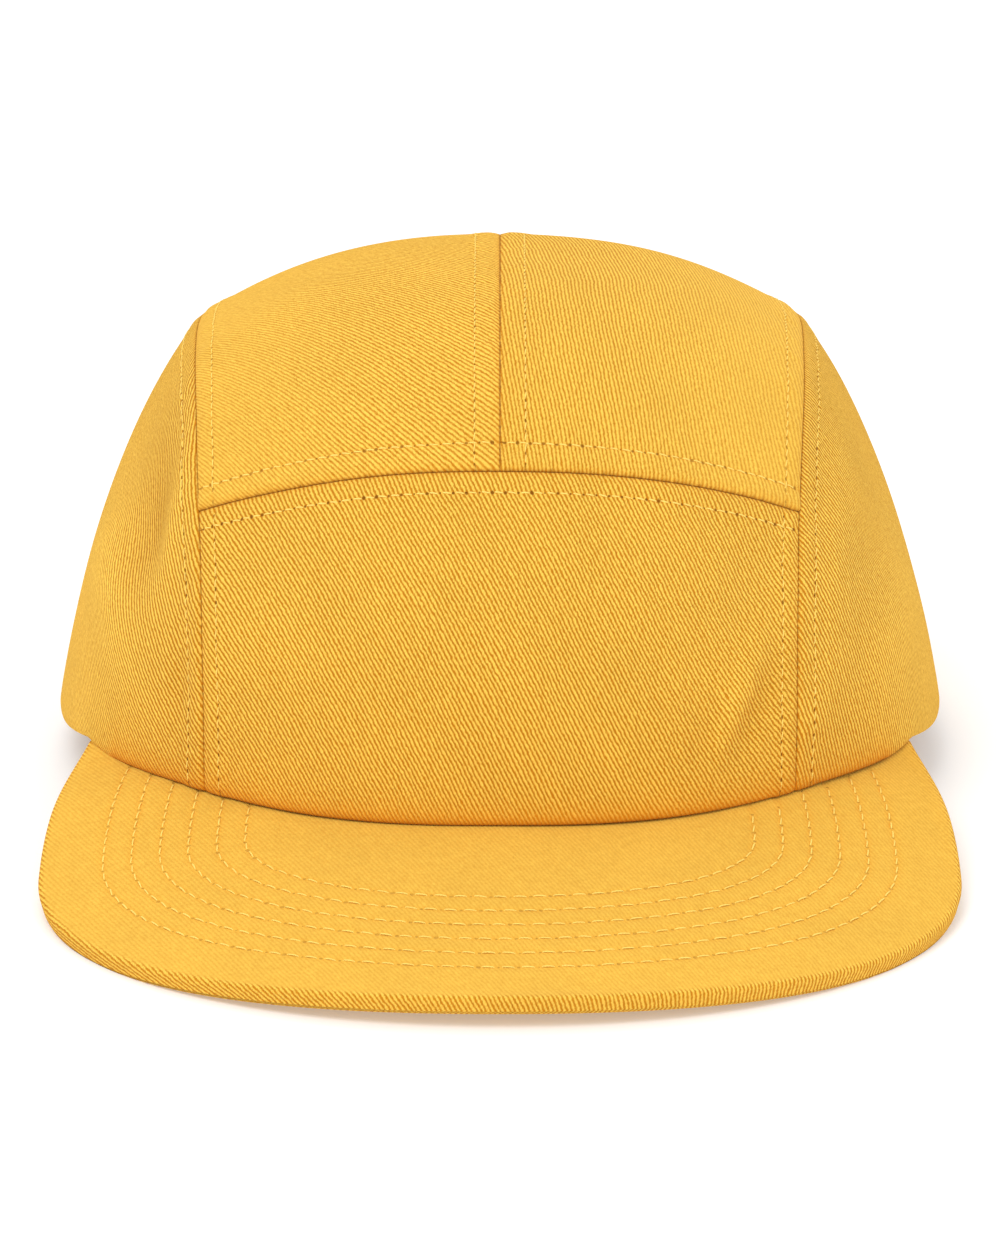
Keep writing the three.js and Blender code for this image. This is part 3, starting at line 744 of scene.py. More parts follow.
def side_place(s, t):
    """The side panel as a four sided patch of the side view, between the rim and its seam."""
    shrink = 1 - HAIR / SEAM_HEIGHT

    def seam(v):
        return np.stack(seam_arch(v), -1) * shrink

    def rim(share):
        y = lerp(-REACH_FRONT, REACH_BACK, share) * shrink
        return np.stack((y, np.zeros(np.shape(y))), -1)

    one, s1, t1 = np.ones(np.shape(s)), s[..., None], t[..., None]
    top = seam(lerp(CORNER_FRONT, CORNER_BACK, s))
    across = lerp(rim(s), top, t1)
    along = lerp(seam(CORNER_FRONT * t), seam(lerp(1, CORNER_BACK, t)), s1)
    low = lerp(rim(0 * one), rim(one), s1)
    high = lerp(seam(CORNER_FRONT * one), seam(CORNER_BACK * one), s1)
    return across + along - lerp(low, high, t1)


def side_pattern(hand, sizes):
    def surface(y, z):
        return side_point(y, np.maximum(z, 0), hand)

    def normal(y, z):
        return side_normal(y, z, hand)

    edge = seam_line(hand)
    v = np.linspace(SHY, 1 - SHY, 260)
    start = pairs(*seam_arch(v))
    centre = np.array((0.004, 0.02))
    toward = unit(centre - start) * np.array((1.0, 0.72))
    # Near the rim the way in runs level, so that the row reaches the hem
    level = smooth(6 * MM, 30 * MM, start[:, 1])[:, None]
    toward = unit(lerp(pairs(-np.sign(start[:, 0]), 0), toward, level))
    points = row_beside(surface, start, toward, edge, sizes.side_row, 0.03)
    foot = np.linspace(-REACH_FRONT, REACH_BACK, 150) * JUST_INSIDE
    rim = ClothLine(surface(foot, np.zeros(150)))
    return Panel("side_panel_" + side_name(hand), surface, normal, [edge], [rim],
                 [ClothLine(points, None, FAINT_SIDE)], None, 0.0, 37 + 2 * hand,
                 lambda p: 1.20 - 0.50 * smooth(0.72 * A, 0.97 * A, np.abs(p[:, 0])))


def turned(cloth_map, degrees, centre=(0.0, 0.0), scale=1.0):
    """A cloth map with its grain turned round a point."""
    c, s = math.cos(math.radians(degrees)) * scale, math.sin(math.radians(degrees)) * scale
    x, y = cloth_map[..., 0] - centre[0], cloth_map[..., 1] - centre[1]
    return np.stack((x * c - y * s, x * s + y * c), -1)


def eased(cloth_map, face, seed, amount=0.45 * MM):
    """The cloth gives a little, so its lines wander."""
    shift = np.stack((drift(face, 38 * MM, seed), drift(face, 46 * MM, seed + 1)), -1)
    finer = np.stack((drift(face, 13 * MM, seed + 2), drift(face, 15 * MM, seed + 3)), -1)
    return cloth_map + amount * shift + 0.25 * amount * finer


def strip_length(v):
    """Length over the head from the front rim, halfway between the middle and a side seam."""
    marks = np.linspace(0, 1, 600)
    return np.interp(v, marks, lengths_along(strip_point(np.full(600, 0.5), marks)))


HAIR_U, HAIR_V = HAIR / (STRIP_WIDTH_TOP / 2), HAIR / 0.3
TO_ARCH = float(strip_length(ARCH_SEAM_AT))


def make_front_panel(sizes, stitches, twill):
    u = spaced(STRIP_WIDTH_TOP, FINE_STEP, sizes.mesh_step * 0.85)
    v = spaced(TO_ARCH, FINE_STEP, sizes.mesh_step * 0.85)
    s, t = np.meshgrid(lerp(-1 + HAIR_U, 1 - HAIR_U, u), lerp(0, ARCH_SEAM_AT - HAIR_V, v))
    face = strip_point(s, t)
    panel = front_pattern(sizes)
    # Between the arch seam and its row the ridges stand steeper
    gap = panel.arch.measure(face.reshape(-1, 3))[0].reshape(s.shape)
    lean = 0.12 * np.maximum(0, sizes.arch_row_below - gap)
    cloth_map = turned(eased(pairs(face[..., 0] - lean, strip_length(t)), face, 101), 2)
    return sew_panel(panel, s, t, cloth_map, sizes, stitches, twill)


def make_top_panel(hand, sizes, stitches, twill):
    across = spaced(STRIP_WIDTH_TOP / 2, FINE_STEP, sizes.mesh_step)
    over = spaced(float(strip_length(1)) - TO_ARCH, FINE_STEP, sizes.mesh_step)
    # The columns draw together towards the cut-out's foot, where its edge is steepest
    knee = OPENING_SHARE_U
    inner = across[across < knee] / knee
    outer = (across[across >= knee] - knee) / (1 - knee)
    drawn = knee * lerp(inner, np.sin(inner * math.pi / 2), 0.75)
    columns = np.concatenate((drawn, knee + (1 - knee) * outer ** 1.15))
    s, share = np.meshgrid(hand * np.clip(columns, HAIR_U, 1 - HAIR_U), over)
    t = lerp(ARCH_SEAM_AT + HAIR_V, top_panel_end(s), share)
    face = strip_point(s, t)
    cloth_map = pairs(face[..., 0], strip_length(t))
    turn, scale = (-19, 0.80) if hand < 0 else (23, 0.98)
    if hand < 0:  # here the cloth was cut so that its lines keep their slope down to the side seam
        cloth_map[..., 1] -= 1.3 * (CROWN_HEIGHT - SEAM_HEIGHT) * np.abs(s) ** STRIP_SECTION
    cloth_map = turned(eased(cloth_map, face, 111 + hand), turn, (0.0, TO_ARCH), scale)
    return sew_panel(top_pattern(hand, sizes), s, t, cloth_map, sizes, stitches, twill)


def make_side_panel(hand, sizes, stitches, twill):
    along = spaced(REACH_FRONT + REACH_BACK, FINE_STEP, sizes.mesh_step * 1.1)
    up = spaced(SEAM_HEIGHT * 1.25, FINE_STEP, sizes.mesh_step * 1.1)
    place = side_place(*np.meshgrid(along, up))
    y, z = place[..., 0], np.maximum(place[..., 1], 0)
    # The cloth unrolled: lengths round the head from the panel's middle, and up from the rim
    marks = np.linspace(0, 1, 29)
    round_it = side_point(y[..., None] * marks, z[..., None] + 0 * marks, hand)
    up_it = side_point(y[..., None] + 0 * marks, z[..., None] * marks, hand)
    across, over = (np.linalg.norm(np.diff(path, axis=-2), axis=-1).sum(-1)
                    for path in (round_it, up_it))
    cloth_map = pairs(hand * np.sign(y) * across, over)
    turn, scale = (-18, 0.86) if hand < 0 else (16, 0.80)
    cloth_map = turned(eased(cloth_map, side_point(y, z, hand), 121 + hand), turn, (0, 0), scale)
    return sew_panel(side_pattern(hand, sizes), y, z, cloth_map, sizes, stitches, twill)


# ---------------------------------------------------------------- the peak

def peak_outline(count=1200):
    """The peak's outline on its board, from one end of its root round the front to the other."""
    half = PEAK_WIDTH / 2
    widest = -WIDEST_BEHIND * PEAK_LENGTH
    root_half = PEAK_ROOT_WIDTH / 2
    root_back = float(peak_run(root_half, PEAK_ROOT_BACK))
    c = np.sin(np.linspace(0, 1, 400) * math.pi / 2)
    forward = np.maximum(0, 1 - c ** PEAK_FRONT) ** (1 / PEAK_CORNER)
    q = np.linspace(0, 1, 400)[1:]
    right = np.concatenate((pairs(half * c, lerp(widest, PEAK_LENGTH, forward)),
                            pairs(half - (half - root_half) * q ** PEAK_FLANK,
                                  lerp(widest, root_back, q))))
    line = np.concatenate((right[1:][::-1] * np.array((-1, 1)), right))
    lengths = lengths_along(line)
    return read_off(np.linspace(0, lengths[-1], count), lengths, line)


def outward_ways(line):
    """Unit ways out from the outline's line, square to it."""
    way = unit(np.gradient(line, axis=0))
    return pairs(-way[:, 1], way[:, 0])


def peak_rows(peak):
    """The quilting rows on the flat board, each ending where it would pass under the crown."""
    outline = peak_outline()
    rows = []
    for k in range(peak.rows):
        line = outline - outward_ways(outline) * (peak.first_row + k * peak.row_step)
        line = line[np.abs(line[:, 0]) < PEAK_WIDTH / 2]
        y = peak_point(line[:, 0], line[:, 1])[:, 1]
        keep = front_rim(np.clip(line[:, 0], -A, A)) - y > -0.5 * MM
        first, last = np.flatnonzero(keep)[[0, -1]]
        rows.append(line[first:last + 1])
    return rows


def flat(line):
    return np.concatenate((line, np.zeros((len(line), 1))), 1)


def board_up(x):
    """The board's upward normal, at places across it."""
    ones = np.ones(len(x))
    return unit(np.stack((x / PEAK_BOW_RADIUS, -math.sin(PEAK_DROOP) * ones,
                          math.cos(PEAK_DROOP) * ones), -1))


def board_top(place):
    """The board's upper face, with its ends pressed down by the crown."""
    top = peak_point(place[:, 0], place[:, 1])
    top[:, 2] -= end_drop(top[:, 1])
    return top


def make_peak(peak, twill):
    """The quilted peak: a stiff board in twill, its edge rolled round and its rows drawn in."""
    outline = peak_outline()
    edge = ClothLine(flat(outline))
    rows = [ClothLine(flat(row)) for row in peak_rows(peak)]
    columns = 430
    s = np.linspace(-1, 1, columns)
    rim = read_off(np.linspace(0, len(outline) - 1, columns), np.arange(len(outline)), outline)
    out = outward_ways(rim)
    root_x, root_y = inside_rim(s)
    root = pairs(root_x, peak_run(root_x, root_y))
    middle = 1 - np.abs(s) ** 12
    corner = peak.corner
    wall = PEAK_THICKNESS - 2 * corner

    def down_at(x, q):
        """The way down through the board, which is upright near the edge."""
        return unit(lerp(-board_up(x), np.array((0, 0, -1.0)), (1 - smooth(0, 0.3, q))[:, None]))

    def face(shares, side):
        """Points of a flat face, side 1 above and -1 below, at shares from root to edge."""
        place = lerp(root[None], rim[None], shares[:, None, None]).reshape(-1, 2)
        gap, along, _ = edge.measure(flat(place))
        upward = np.tile(np.array((0.0, 0.0, 1.0)), (len(place), 1))
        row, row_along, sewing = rows_beside(rows, flat(place), upward, peak.pitch)
        row_at = row_along / peak.pitch
        beat = 0.7 + 0.3 * np.cos(2 * math.pi * row_at)
        quilt = peak.quilt * (1 - np.exp(-(row / (1.1 * MM)) ** 2) * (0.7 + 0.6 * beat))
        deepest = peak.first_row + (peak.rows - 1) * peak.row_step
        quilt *= 1 - 0.5 * smooth(deepest + 2 * MM, deepest + 9 * MM, gap)
        ripple = 0.07 * MM * waves(row_along, (6.1 * MM, 9.7 * MM, 15.3 * MM), 71)
        ripple *= np.exp(-(row / (2.6 * MM)) ** 2)
        sway = 0.25 * MM * drift(flat(place), 34 * MM, 77)
        lift = (quilt - peak.quilt * 0.75 + ripple + side * sway) * smooth(corner, 4 * corner, gap)
        turn = np.minimum(gap, corner)
        lift -= corner - np.sqrt(np.maximum(corner ** 2 - (corner - turn) ** 2, 0))
        down = down_at(place[:, 0], np.repeat(shares, columns) * np.tile(middle, len(shares)))
        depth = PEAK_THICKNESS / 2 - side * (PEAK_THICKNESS / 2 + lift)
        arc = corner * np.arcsin(np.clip(1 - turn / corner, 0, 1)) - (corner - turn)
        return board_top(place) + down * depth[:, None], place, sewing, gap, along, arc

    def shares(fine, coarse, growth):
        half = spaced(2 * PEAK_LENGTH, fine, coarse, growth)
        inward = 1 - 2 * half[half < 0.499]
        return np.concatenate(((0.0,), inward[::-1][:-1]))

    top_q, low_q = shares(0.10 * MM, 0.66 * MM, 1.16), shares(0.14 * MM, 1.6 * MM, 1.3)
    upper, lower = face(top_q, 1), face(low_q[::-1], -1)
    # The wall of the rolled edge, from the end of its upper corner to the start of its lower one
    depths = np.linspace(corner, corner + wall, 7)
    rim_down = down_at(rim[:, 0], middle)
    ribs = np.concatenate([board_top(rim) + rim_down * depth for depth in depths])
    on_rim = np.tile(rim, (len(depths), 1))
    rim_along = np.tile(edge.lengths[-1] * np.linspace(0, 1, columns), len(depths))
    round_edge = np.repeat(depths - corner, columns) + corner * (math.pi / 2 - 1)

    points = rest(np.concatenate((upper[0], ribs, lower[0])))
    points[:, 2] = np.maximum(points[:, 2], 0)
    place = np.concatenate((upper[1], on_rim, lower[1]))
    gap = np.concatenate((upper[3], np.zeros(len(on_rim)), lower[3]))
    along = np.concatenate((upper[4], rim_along, lower[4]))
    loops = len(points) // columns
    turns = np.tile(out, (loops, 1))
    # Unrolled over the edge, the upper cloth goes on outwards; the lower cloth is its own piece
    wrap = np.concatenate((upper[5], round_edge, 0 * lower[5]))
    mirror = np.array((1, -1))
    own = place * mirror
    upper_cloth = eased(own + turns * mirror * wrap[:, None], flat(place), 131, 0.3 * MM)
    upper_cloth = turned(upper_cloth, math.degrees(peak.grain), (0, 0), peak.weave_scale)
    lower_cloth = turned(eased(own, flat(place), 141), -4, (0, 0), peak.weave_scale)
    index = np.arange(loops * columns).reshape(loops, columns)
    following = np.roll(index, -1, axis=0)
    quads = np.stack((index[:, :-1], index[:, 1:], following[:, 1:], following[:, :-1]), -1)
    polygons = [quads.reshape(-1, 4), index[:, 0][None, :], index[:, -1][::-1][None, :]]
    first_lower = len(top_q) + len(depths)

    def cloth(corners, owner):
        below = owner // (columns - 1) >= first_lower
        return np.where(below[:, None], lower_cloth[corners], upper_cloth[corners])

    def sewing(corners, owner):
        """The upper face's rows, nothing on the wall, and the lower face's rows."""
        values = np.full((len(corners), 2), FAR)
        above, below = len(upper[1]), len(upper[1]) + len(on_rim)
        for part, first, end in ((upper[2], 0, above), (lower[2], below, len(points))):
            inside = (corners >= first) & (corners < end)
            whole = np.bincount(owner, ~inside)[owner] == 0
            polygon = np.unique(owner[whole], return_inverse=True)[1]
            values[whole] = part(corners[whole] - first, polygon)
        return values

    # The ridges and their painted light and shade show fully on the rolled edge, which stands
    # upright so that the light grazes it; there the edge is also painted a little warmer and
    # darker, as its shade
    inward = smooth(0.2 * MM, 1.6 * MM, gap)
    maps = {
        "cloth": cloth,
        "sewing": sewing,
        "seam": pairs(along / MM, FAR),
        "finish": pairs(lerp(1.0, peak.weave_strength, inward), lerp(4.5, FAR, inward)),
    }
    piece = new_piece("quilted_peak", points, outward(points, polygons), maps, twill)
    return dress(piece, "twill", "peak")


# ---------------------------------------------------------------- band, strap and clasp

def level_points(stretch, share, z):
    """Points of the crown's outer face at heights z, at shares along one stretch of it."""
    height = np.maximum(z, 0)

    def find(height_at, low, high, rising):
        low, high = np.full(np.shape(share), low), np.full(np.shape(share), high)
        for _ in range(30):
            v = (low + high) / 2
            first = (height_at(v) < height) == rising
            low, high = np.where(first, v, low), np.where(first, high, v)
        return low

    if stretch == "front":
        p = strip_point(share, find(lambda v: strip_point(share, v)[..., 2], 0.0, 0.4, True))
    elif stretch == "back":
        p = strip_point(share, find(lambda v: strip_point(share, v)[..., 2], 0.6, 1.0, False))
    else:
        front = seam_arch(find(lambda v: seam_arch(v)[1], 0.0, 0.4, True))[0]
        back = seam_arch(find(lambda v: seam_arch(v)[1], 0.6, 1.0, False))[0]
        hand = -1 if stretch == "left" else 1
        p = side_point(lerp(front, back, share) * JUST_INSIDE, height, hand)
    p = p.copy()
    p[..., 2] = z
    return p


def level_line(stretches, heights):
    """The stretches' points one after another; heights has one height for each column."""
    points, first = [], 0
    for stretch, shares in stretches:
        part = heights[first:first + len(shares)]
        points.append(level_points(stretch, shares, part))
        first += len(shares)
    return np.concatenate(points)


def set_in(line, above):
    """Normals of the wall along a level line, from the line and one a little above it."""
    way = np.empty_like(line)
    way[1:-1] = line[2:] - line[:-2]
    way[0], way[-1] = line[1] - line[0], line[-1] - line[-2]
    normal = unit(np.cross(way, above - line))
    wrong = normal[:, 0] * line[:, 0] + normal[:, 1] * line[:, 1] < 0
    normal[wrong] *= -1
    return normal


def wall_at(stretches, heights):
    """The crown's wall along a level line of some heights: its points and its normals."""
    step = 2 * MM
    line = level_line(stretches, heights)
    above = level_line(stretches, np.maximum(heights, 0) + step)
    above[:, 2] = heights + step
    return line, set_in(line, above)


def band_lower(foot):
    front = 1 - smooth(PEAK_ROOT_BACK - BAND_HEIGHT / 2, PEAK_ROOT_BACK, foot[:, 1])
    under = peak_height(foot[:, 0], foot[:, 1]) - PEAK_THICKNESS + BAND_SET_UP
    return lerp(BAND_SET_UP, under, front)


def level_edge(height):
    return lambda foot: foot[:, 0] * 0 + height


# A band on the inside of the crown: the stretches of its wall that it follows, its two edges as
# heights over the rim, its thickness, its rows of stitches and a seed for its ripples
Band = namedtuple("Band", "stretches lower upper thickness rows seed")


def sweatband():
    share = min((OPENING_WIDTH / 2 + STRAP_OVERLAP + 2 * PIECE_GAP) / (STRIP_WIDTH_BACK / 2), 0.999)
    stretches = [
        ("back", np.linspace(-share, -1, 4)),
        ("left", np.linspace(1, 0, 150)[1:]),
        ("front", np.linspace(-1, 1, 110)[1:]),
        ("right", np.linspace(0, 1, 150)[1:]),
        ("back", np.linspace(1, share, 4)[1:]),
    ]
    return Band(stretches, band_lower, level_edge(BAND_HEIGHT), BAND_THICKNESS, BAND_ROWS, 51)


def back_strap():
    reach = (OPENING_WIDTH / 2 + STRAP_OVERLAP) / (STRIP_WIDTH_BACK / 2)
    return Band([("back", np.linspace(reach, -reach, 110))], level_edge(STRAP_LIFT),
                level_edge(STRAP_LIFT + STRAP_WIDTH), STRAP_THICKNESS, STRAP_ROWS, 57)


def foot_of(band):
    count = sum(len(shares) for _, shares in band.stretches)
    return level_line(band.stretches, np.zeros(count))


def make_band(name, band, stitches, material):
    """A band inside the crown, with folded edges and rows of stitches."""
    foot = foot_of(band)
    count = len(foot)
    low, high = band.lower(foot), band.upper(foot)
    shares = spaced(float((high - low).mean()), 0.15 * MM, 0.8 * MM)
    outer, inner, wide, tall = [], [], [], []
    length = lengths_along(foot)
    for share in shares:
        heights = lerp(low, high, share)
        line, normal = wall_at(band.stretches, heights)
        gap = np.minimum(np.minimum(heights - low, high - heights),
                         np.minimum(length, length[-1] - length))
        row = np.full(count, 1.0)
        for mark in band.rows:
            off = heights - low - mark if mark > 0 else heights - high - mark
            row = np.where(np.abs(off) < np.abs(row), off, row)
        turn = band.thickness / 2 * fold(gap, band.thickness / 2)
        beat = 0.7 + 0.3 * np.cos(2 * math.pi * length / stitches.pitch)
        channel = 0.14 * MM * np.exp(-(row / (0.6 * MM)) ** 2) * beat
        ripple = 0.1 * MM * waves(length + (heights - low) * 0.3, (9 * MM, 16 * MM), band.seed)
        ripple *= smooth(1 * MM, 4 * MM, gap)
        depth = CLOTH + PIECE_GAP
        outer.append(line - normal * (depth + turn + 0.5 * channel)[:, None])
        inner.append(line - normal * (depth + band.thickness - turn - channel + ripple)[:, None])
        wide.append(pairs(length, heights))
        tall.append(pairs(length / stitches.pitch, row / stitches.pitch))
    points = rest(np.concatenate(outer + inner))
    maps = {
        "cloth": np.concatenate(wide + wide),
        "sewing": np.concatenate(tall + tall),
        "seam": np.full((len(points), 2), FAR),
        "finish": np.tile(np.array((0.8, FAR)), (len(points), 1)),
    }
    quads = outward(points, shell_quads(len(shares), count))
    return new_piece(name, points, quads, maps, material)


def make_clasp(clasp, plastic):
    """The slide: a plain frame round the strap, with softened edges."""
    width = clasp.width
    middle = STRAP_LIFT + STRAP_WIDTH / 2
    depth = CLOTH + PIECE_GAP + STRAP_THICKNESS / 2
    zero = np.zeros(1)

    def level(share, z):
        return level_points("back", zero + share, zero + z)[0]

    up = unit(level(0, middle + 1 * MM) - level(0, middle - 1 * MM))
    out = np.array((0, up[2], -up[1]))
    face = level(0, middle)
    bulge = float((face - level(width / STRIP_WIDTH_BACK, middle)) @ out
                  + (face - level(0, middle + STRAP_WIDTH / 2)) @ out)
    centre = face - out * (depth + bulge / 2)
    slot_h = STRAP_WIDTH + 2 * PIECE_GAP
    slot_d = STRAP_THICKNESS + 2 * PIECE_GAP + bulge
    frame_h = slot_h + 2 * clasp.rail
    frame_d = slot_d + 2 * clasp.wall

    # Rings round the frame's bar section: each a rounded rectangle, seen along X
    def ring(half_d, half_h, radius, x, corner=5):
        points = []
        for k, (sd, sh) in enumerate(((1, 1), (-1, 1), (-1, -1), (1, -1))):
            for step in range(corner + 1):
                turn = math.pi / 2 * (k + step / corner)
                points.append((sd * (half_d - radius) + radius * math.cos(turn),
                               sh * (half_h - radius) + radius * math.sin(turn), x))
        return points

    # The section's outer corners from left to right, then the slot's from right to left
    rings = []
    quarter = np.linspace(0, math.pi / 2, 5), np.linspace(0, math.pi / 2, 4)
    for grow, half_d, half_h, radius, bevel, turns in (
            (-1, frame_d / 2, frame_h / 2, 1.1 * MM, clasp.bevel, quarter[0]),
            (1, slot_d / 2, slot_h / 2, 0.25 * MM, 0.3 * MM, quarter[1])):
        for side, order in ((grow, turns), (-grow, turns[::-1])):
            for turn in order:
                ease = grow * bevel * (1 - math.sin(turn))
                x = side * (width / 2 - bevel * (1 - math.cos(turn)))
                rings.append(ring(half_d + ease, half_h + ease, radius, x))
    local = np.array(rings)
    rows, columns = local.shape[:2]
    sideways = np.cross(out, up)
    points = centre + local[..., 0:1] * out + local[..., 1:2] * up + local[..., 2:3] * sideways
    points = rest(points).reshape(-1, 3)
    index = np.arange(rows * columns).reshape(rows, columns)
    down, right = np.roll(index, -1, axis=0), np.roll(index, -1, axis=1)
    both = np.roll(down, -1, axis=1)
    quads = [np.stack((index, right, both, down), -1).reshape(-1, 4)]
    piece = new_piece("slide_clasp", points, outward(points, quads), None, plastic)
    return dress(piece, "clasp_plastic", "clasp")


# ---------------------------------------------------------------- stitches

def surface_tree(name):
    mesh = bpy.data.objects[name].data
    points = np.empty(len(mesh.vertices) * 3, np.float32)
    mesh.vertices.foreach_get("co", points)
    mesh.calc_loop_triangles()
    corners = np.empty(len(mesh.loop_triangles) * 3, np.int32)
    mesh.loop_triangles.foreach_get("vertices", corners)
    return BVHTree.FromPolygons(points.reshape(-1, 3).tolist(), corners.reshape(-1, 3).tolist())


def land(tree, points, normals, above=5 * MM, reach=9 * MM):
    """Where each point lands on a surface, coming down along its normal."""
    landed = np.full(points.shape, np.nan)
    for k, (p, n) in enumerate(zip(points, normals)):
        way = Vector(-n)
        place = tree.ray_cast(Vector(p + n * above), way, reach)[0]
        if place is not None:
            landed[k] = place
    return landed


class Threads:
    """Stitches gathered from many rows, then made into one mesh."""

    def __init__(self, stitches, seed, pitch=None, bare=0.14):
        self.stitches = stitches
        self.pitch, self.bare = pitch or stitches.pitch, bare
        self.points, self.maps = [], []
        self.chance = np.random.default_rng(seed)

    def add_row(self, tree, line, normals_at, seat=None, flip=1.0):
        """One row: holes every stitch pitch along the line, and a thread from hole to hole."""
        pitch = self.pitch
        holes = line.at_lengths(np.arange(0, line.length, pitch))
        normals = normals_at(holes) * flip
        if seat is not None:
            holes = seat(holes)
        landed = land(tree, rest(holes), rest_direction(normals))
        normals = rest_direction(normals)
        good = ~np.isnan(landed[:, 0])
        both = good[:-1] & good[1:]
        span = np.linalg.norm(landed[1:] - landed[:-1], axis=1)
        both &= (span > 0.5 * pitch) & (span < 1.6 * pitch)
        self.add(landed[:-1][both], landed[1:][both], unit(normals[:-1] + normals[1:])[both],
                 line.faint ** -0.35)

    def add(self, first, last, normal, finer):
        if not len(first):
            return
        count, rings, sides = len(first), 7, 6
        way = unit(last - first)
        across = unit(np.cross(way, normal))
        jitter = self.chance.normal(size=(count, 4))
        radius = self.stitches.width / 2 * finer * (1 + 0.06 * jitter[:, 0])
        skew = across * (0.035 * MM * jitter[:, 1] + 0.11 * MM)[:, None]
        shares = np.array((0.0, 0.07, 0.24, 0.5, 0.76, 0.93, 1.0))
        bow = np.array((-0.16, 0.04, 0.13, 0.16, 0.13, 0.04, -0.16)) * MM
        thick = np.array((0.55, 0.9, 1.0, 1.03, 1.0, 0.9, 0.55))
        turns = np.arange(sides) * 2 * math.pi / sides
        start = first + (last - first) * self.bare
        end = last - (last - first) * self.bare
        rows = []
        for share, height, size in zip(shares, bow, thick):
            centre = lerp(start, end, share) + normal * (height + 0.02 * MM * jitter[:, 2])[:, None]
            centre = centre + skew * (2 * share - 1)
            ring = [centre + (across * math.cos(a) + normal * math.sin(a) * 0.85)
                    * (radius * size)[:, None] for a in turns]
            rows.append(np.stack(ring, 1))
        self.points.append(np.stack(rows, 1))
        u = np.broadcast_to(shares[None, :, None], (count, rings, sides))
        v = np.broadcast_to((turns / (2 * math.pi))[None, None, :], (count, rings, sides))
        self.maps.append(np.stack((u, v), -1))

    def make(self, name, material, slot):
        points, maps = np.concatenate(self.points), np.concatenate(self.maps)
        count, rings, sides = points.shape[:3]
        index = np.arange(count * rings * sides).reshape(count, rings, sides)
        beside = np.roll(index, -1, axis=2)
        quads = np.stack((index[:, :-1], beside[:, :-1], beside[:, 1:], index[:, 1:]), -1)
        polygons = [quads.reshape(-1, 4), index[:, 0, ::-1], index[:, -1]]
        points = points.reshape(-1, 3)
        maps = {"thread": maps.reshape(-1, 2)}
        return dress(new_piece(name, points, outward(points, polygons), maps, material), slot)


def strip_normals(points):
    """Normals of the strip at points on it, by the nearest of many shares over the head."""
    v = np.linspace(0, 1, 500)
    half = strip_half_width(seam_arch(v)[0])
    result = np.empty(points.shape)
    for k, p in enumerate(points):
        u = p[0] / half
        best = int(((strip_point(np.clip(u, -1, 1), v) - p) ** 2).sum(-1).argmin())
        share = float(np.clip(u[best], -0.999, 0.999))
        result[k] = strip_normal(np.array([share]), np.array([v[best]]))[0]
    return result


def make_crown_stitches(sizes, stitches, thread):
    """The rows of stitches on the crown's outer face, and the same rows seen from inside."""
    patterns = [front_pattern(sizes)] + [top_pattern(hand, sizes) for hand in (-1, 1)]
    jobs = [(panel, strip_normals) for panel in patterns]
    for hand in (-1, 1):
        jobs.append((side_pattern(hand, sizes),
                     lambda points, hand=hand: side_normal(points[:, 1], points[:, 2], hand)))
    outside, inside = Threads(stitches, 5), Threads(stitches, 6)
    for panel, normals in jobs:
        tree = surface_tree("sewn_" + panel.node)
        for row in panel.rows:
            outside.add_row(tree, row, normals, seat_on_peak)
            inside.add_row(tree, row, normals, seat_on_peak, -1.0)
    outside.make("crown_stitches", thread, "twill")
    inside.make("inside_stitches", thread, "twill")


def make_peak_stitches(peak, stitches, thread):
    """The quilting rows, above and below the peak."""
    threads = Threads(stitches, 8, peak.pitch, 0.15)
    tree = surface_tree("quilted_peak")
    for row in peak_rows(peak):
        line = ClothLine(board_top(row))
        for side in (1.0, -1.0):
            threads.add_row(tree, line, lambda points: board_up(points[:, 0]), None, side)
    threads.make("peak_stitches", thread, "twill")


def make_band_stitches(stitches, thread):
    """The rows along the band and the strap."""
    threads = Threads(stitches, 9)
    for name, band, sides in (("cotton_band", sweatband(), (-1.0,)),
                              ("stitched_strap", back_strap(), (1.0, -1.0))):
        tree = surface_tree(name)
        foot = foot_of(band)
        for mark in band.rows:
            edge = band.lower if mark > 0 else band.upper
            line, wall = wall_at(band.stretches, edge(foot) + mark)
            row = ClothLine(line - wall * (CLOTH + PIECE_GAP), wall)

            def normals(points, row=row):
                return row.normal_at(row.measure(points)[2])

            for side in sides:
                threads.add_row(tree, row, normals, None, side)
    threads.make("band_stitches", thread, "band_cloth")


# ---------------------------------------------------------------- materials

class Value:
    """A number that a material's nodes work out, so that sums can be written as sums."""

    def __init__(self, bench, socket):
        self.bench, self.socket = bench, socket

    def __add__(self, other):
        return self.bench.math("ADD", self, other)

    def __sub__(self, other):
        return self.bench.math("SUBTRACT", self, other)

    def __rsub__(self, other):
        return self.bench.math("SUBTRACT", other, self)

    def __mul__(self, other):
        return self.bench.math("MULTIPLY", self, other)

    def __truediv__(self, other):
        return self.bench.math("DIVIDE", self, other)


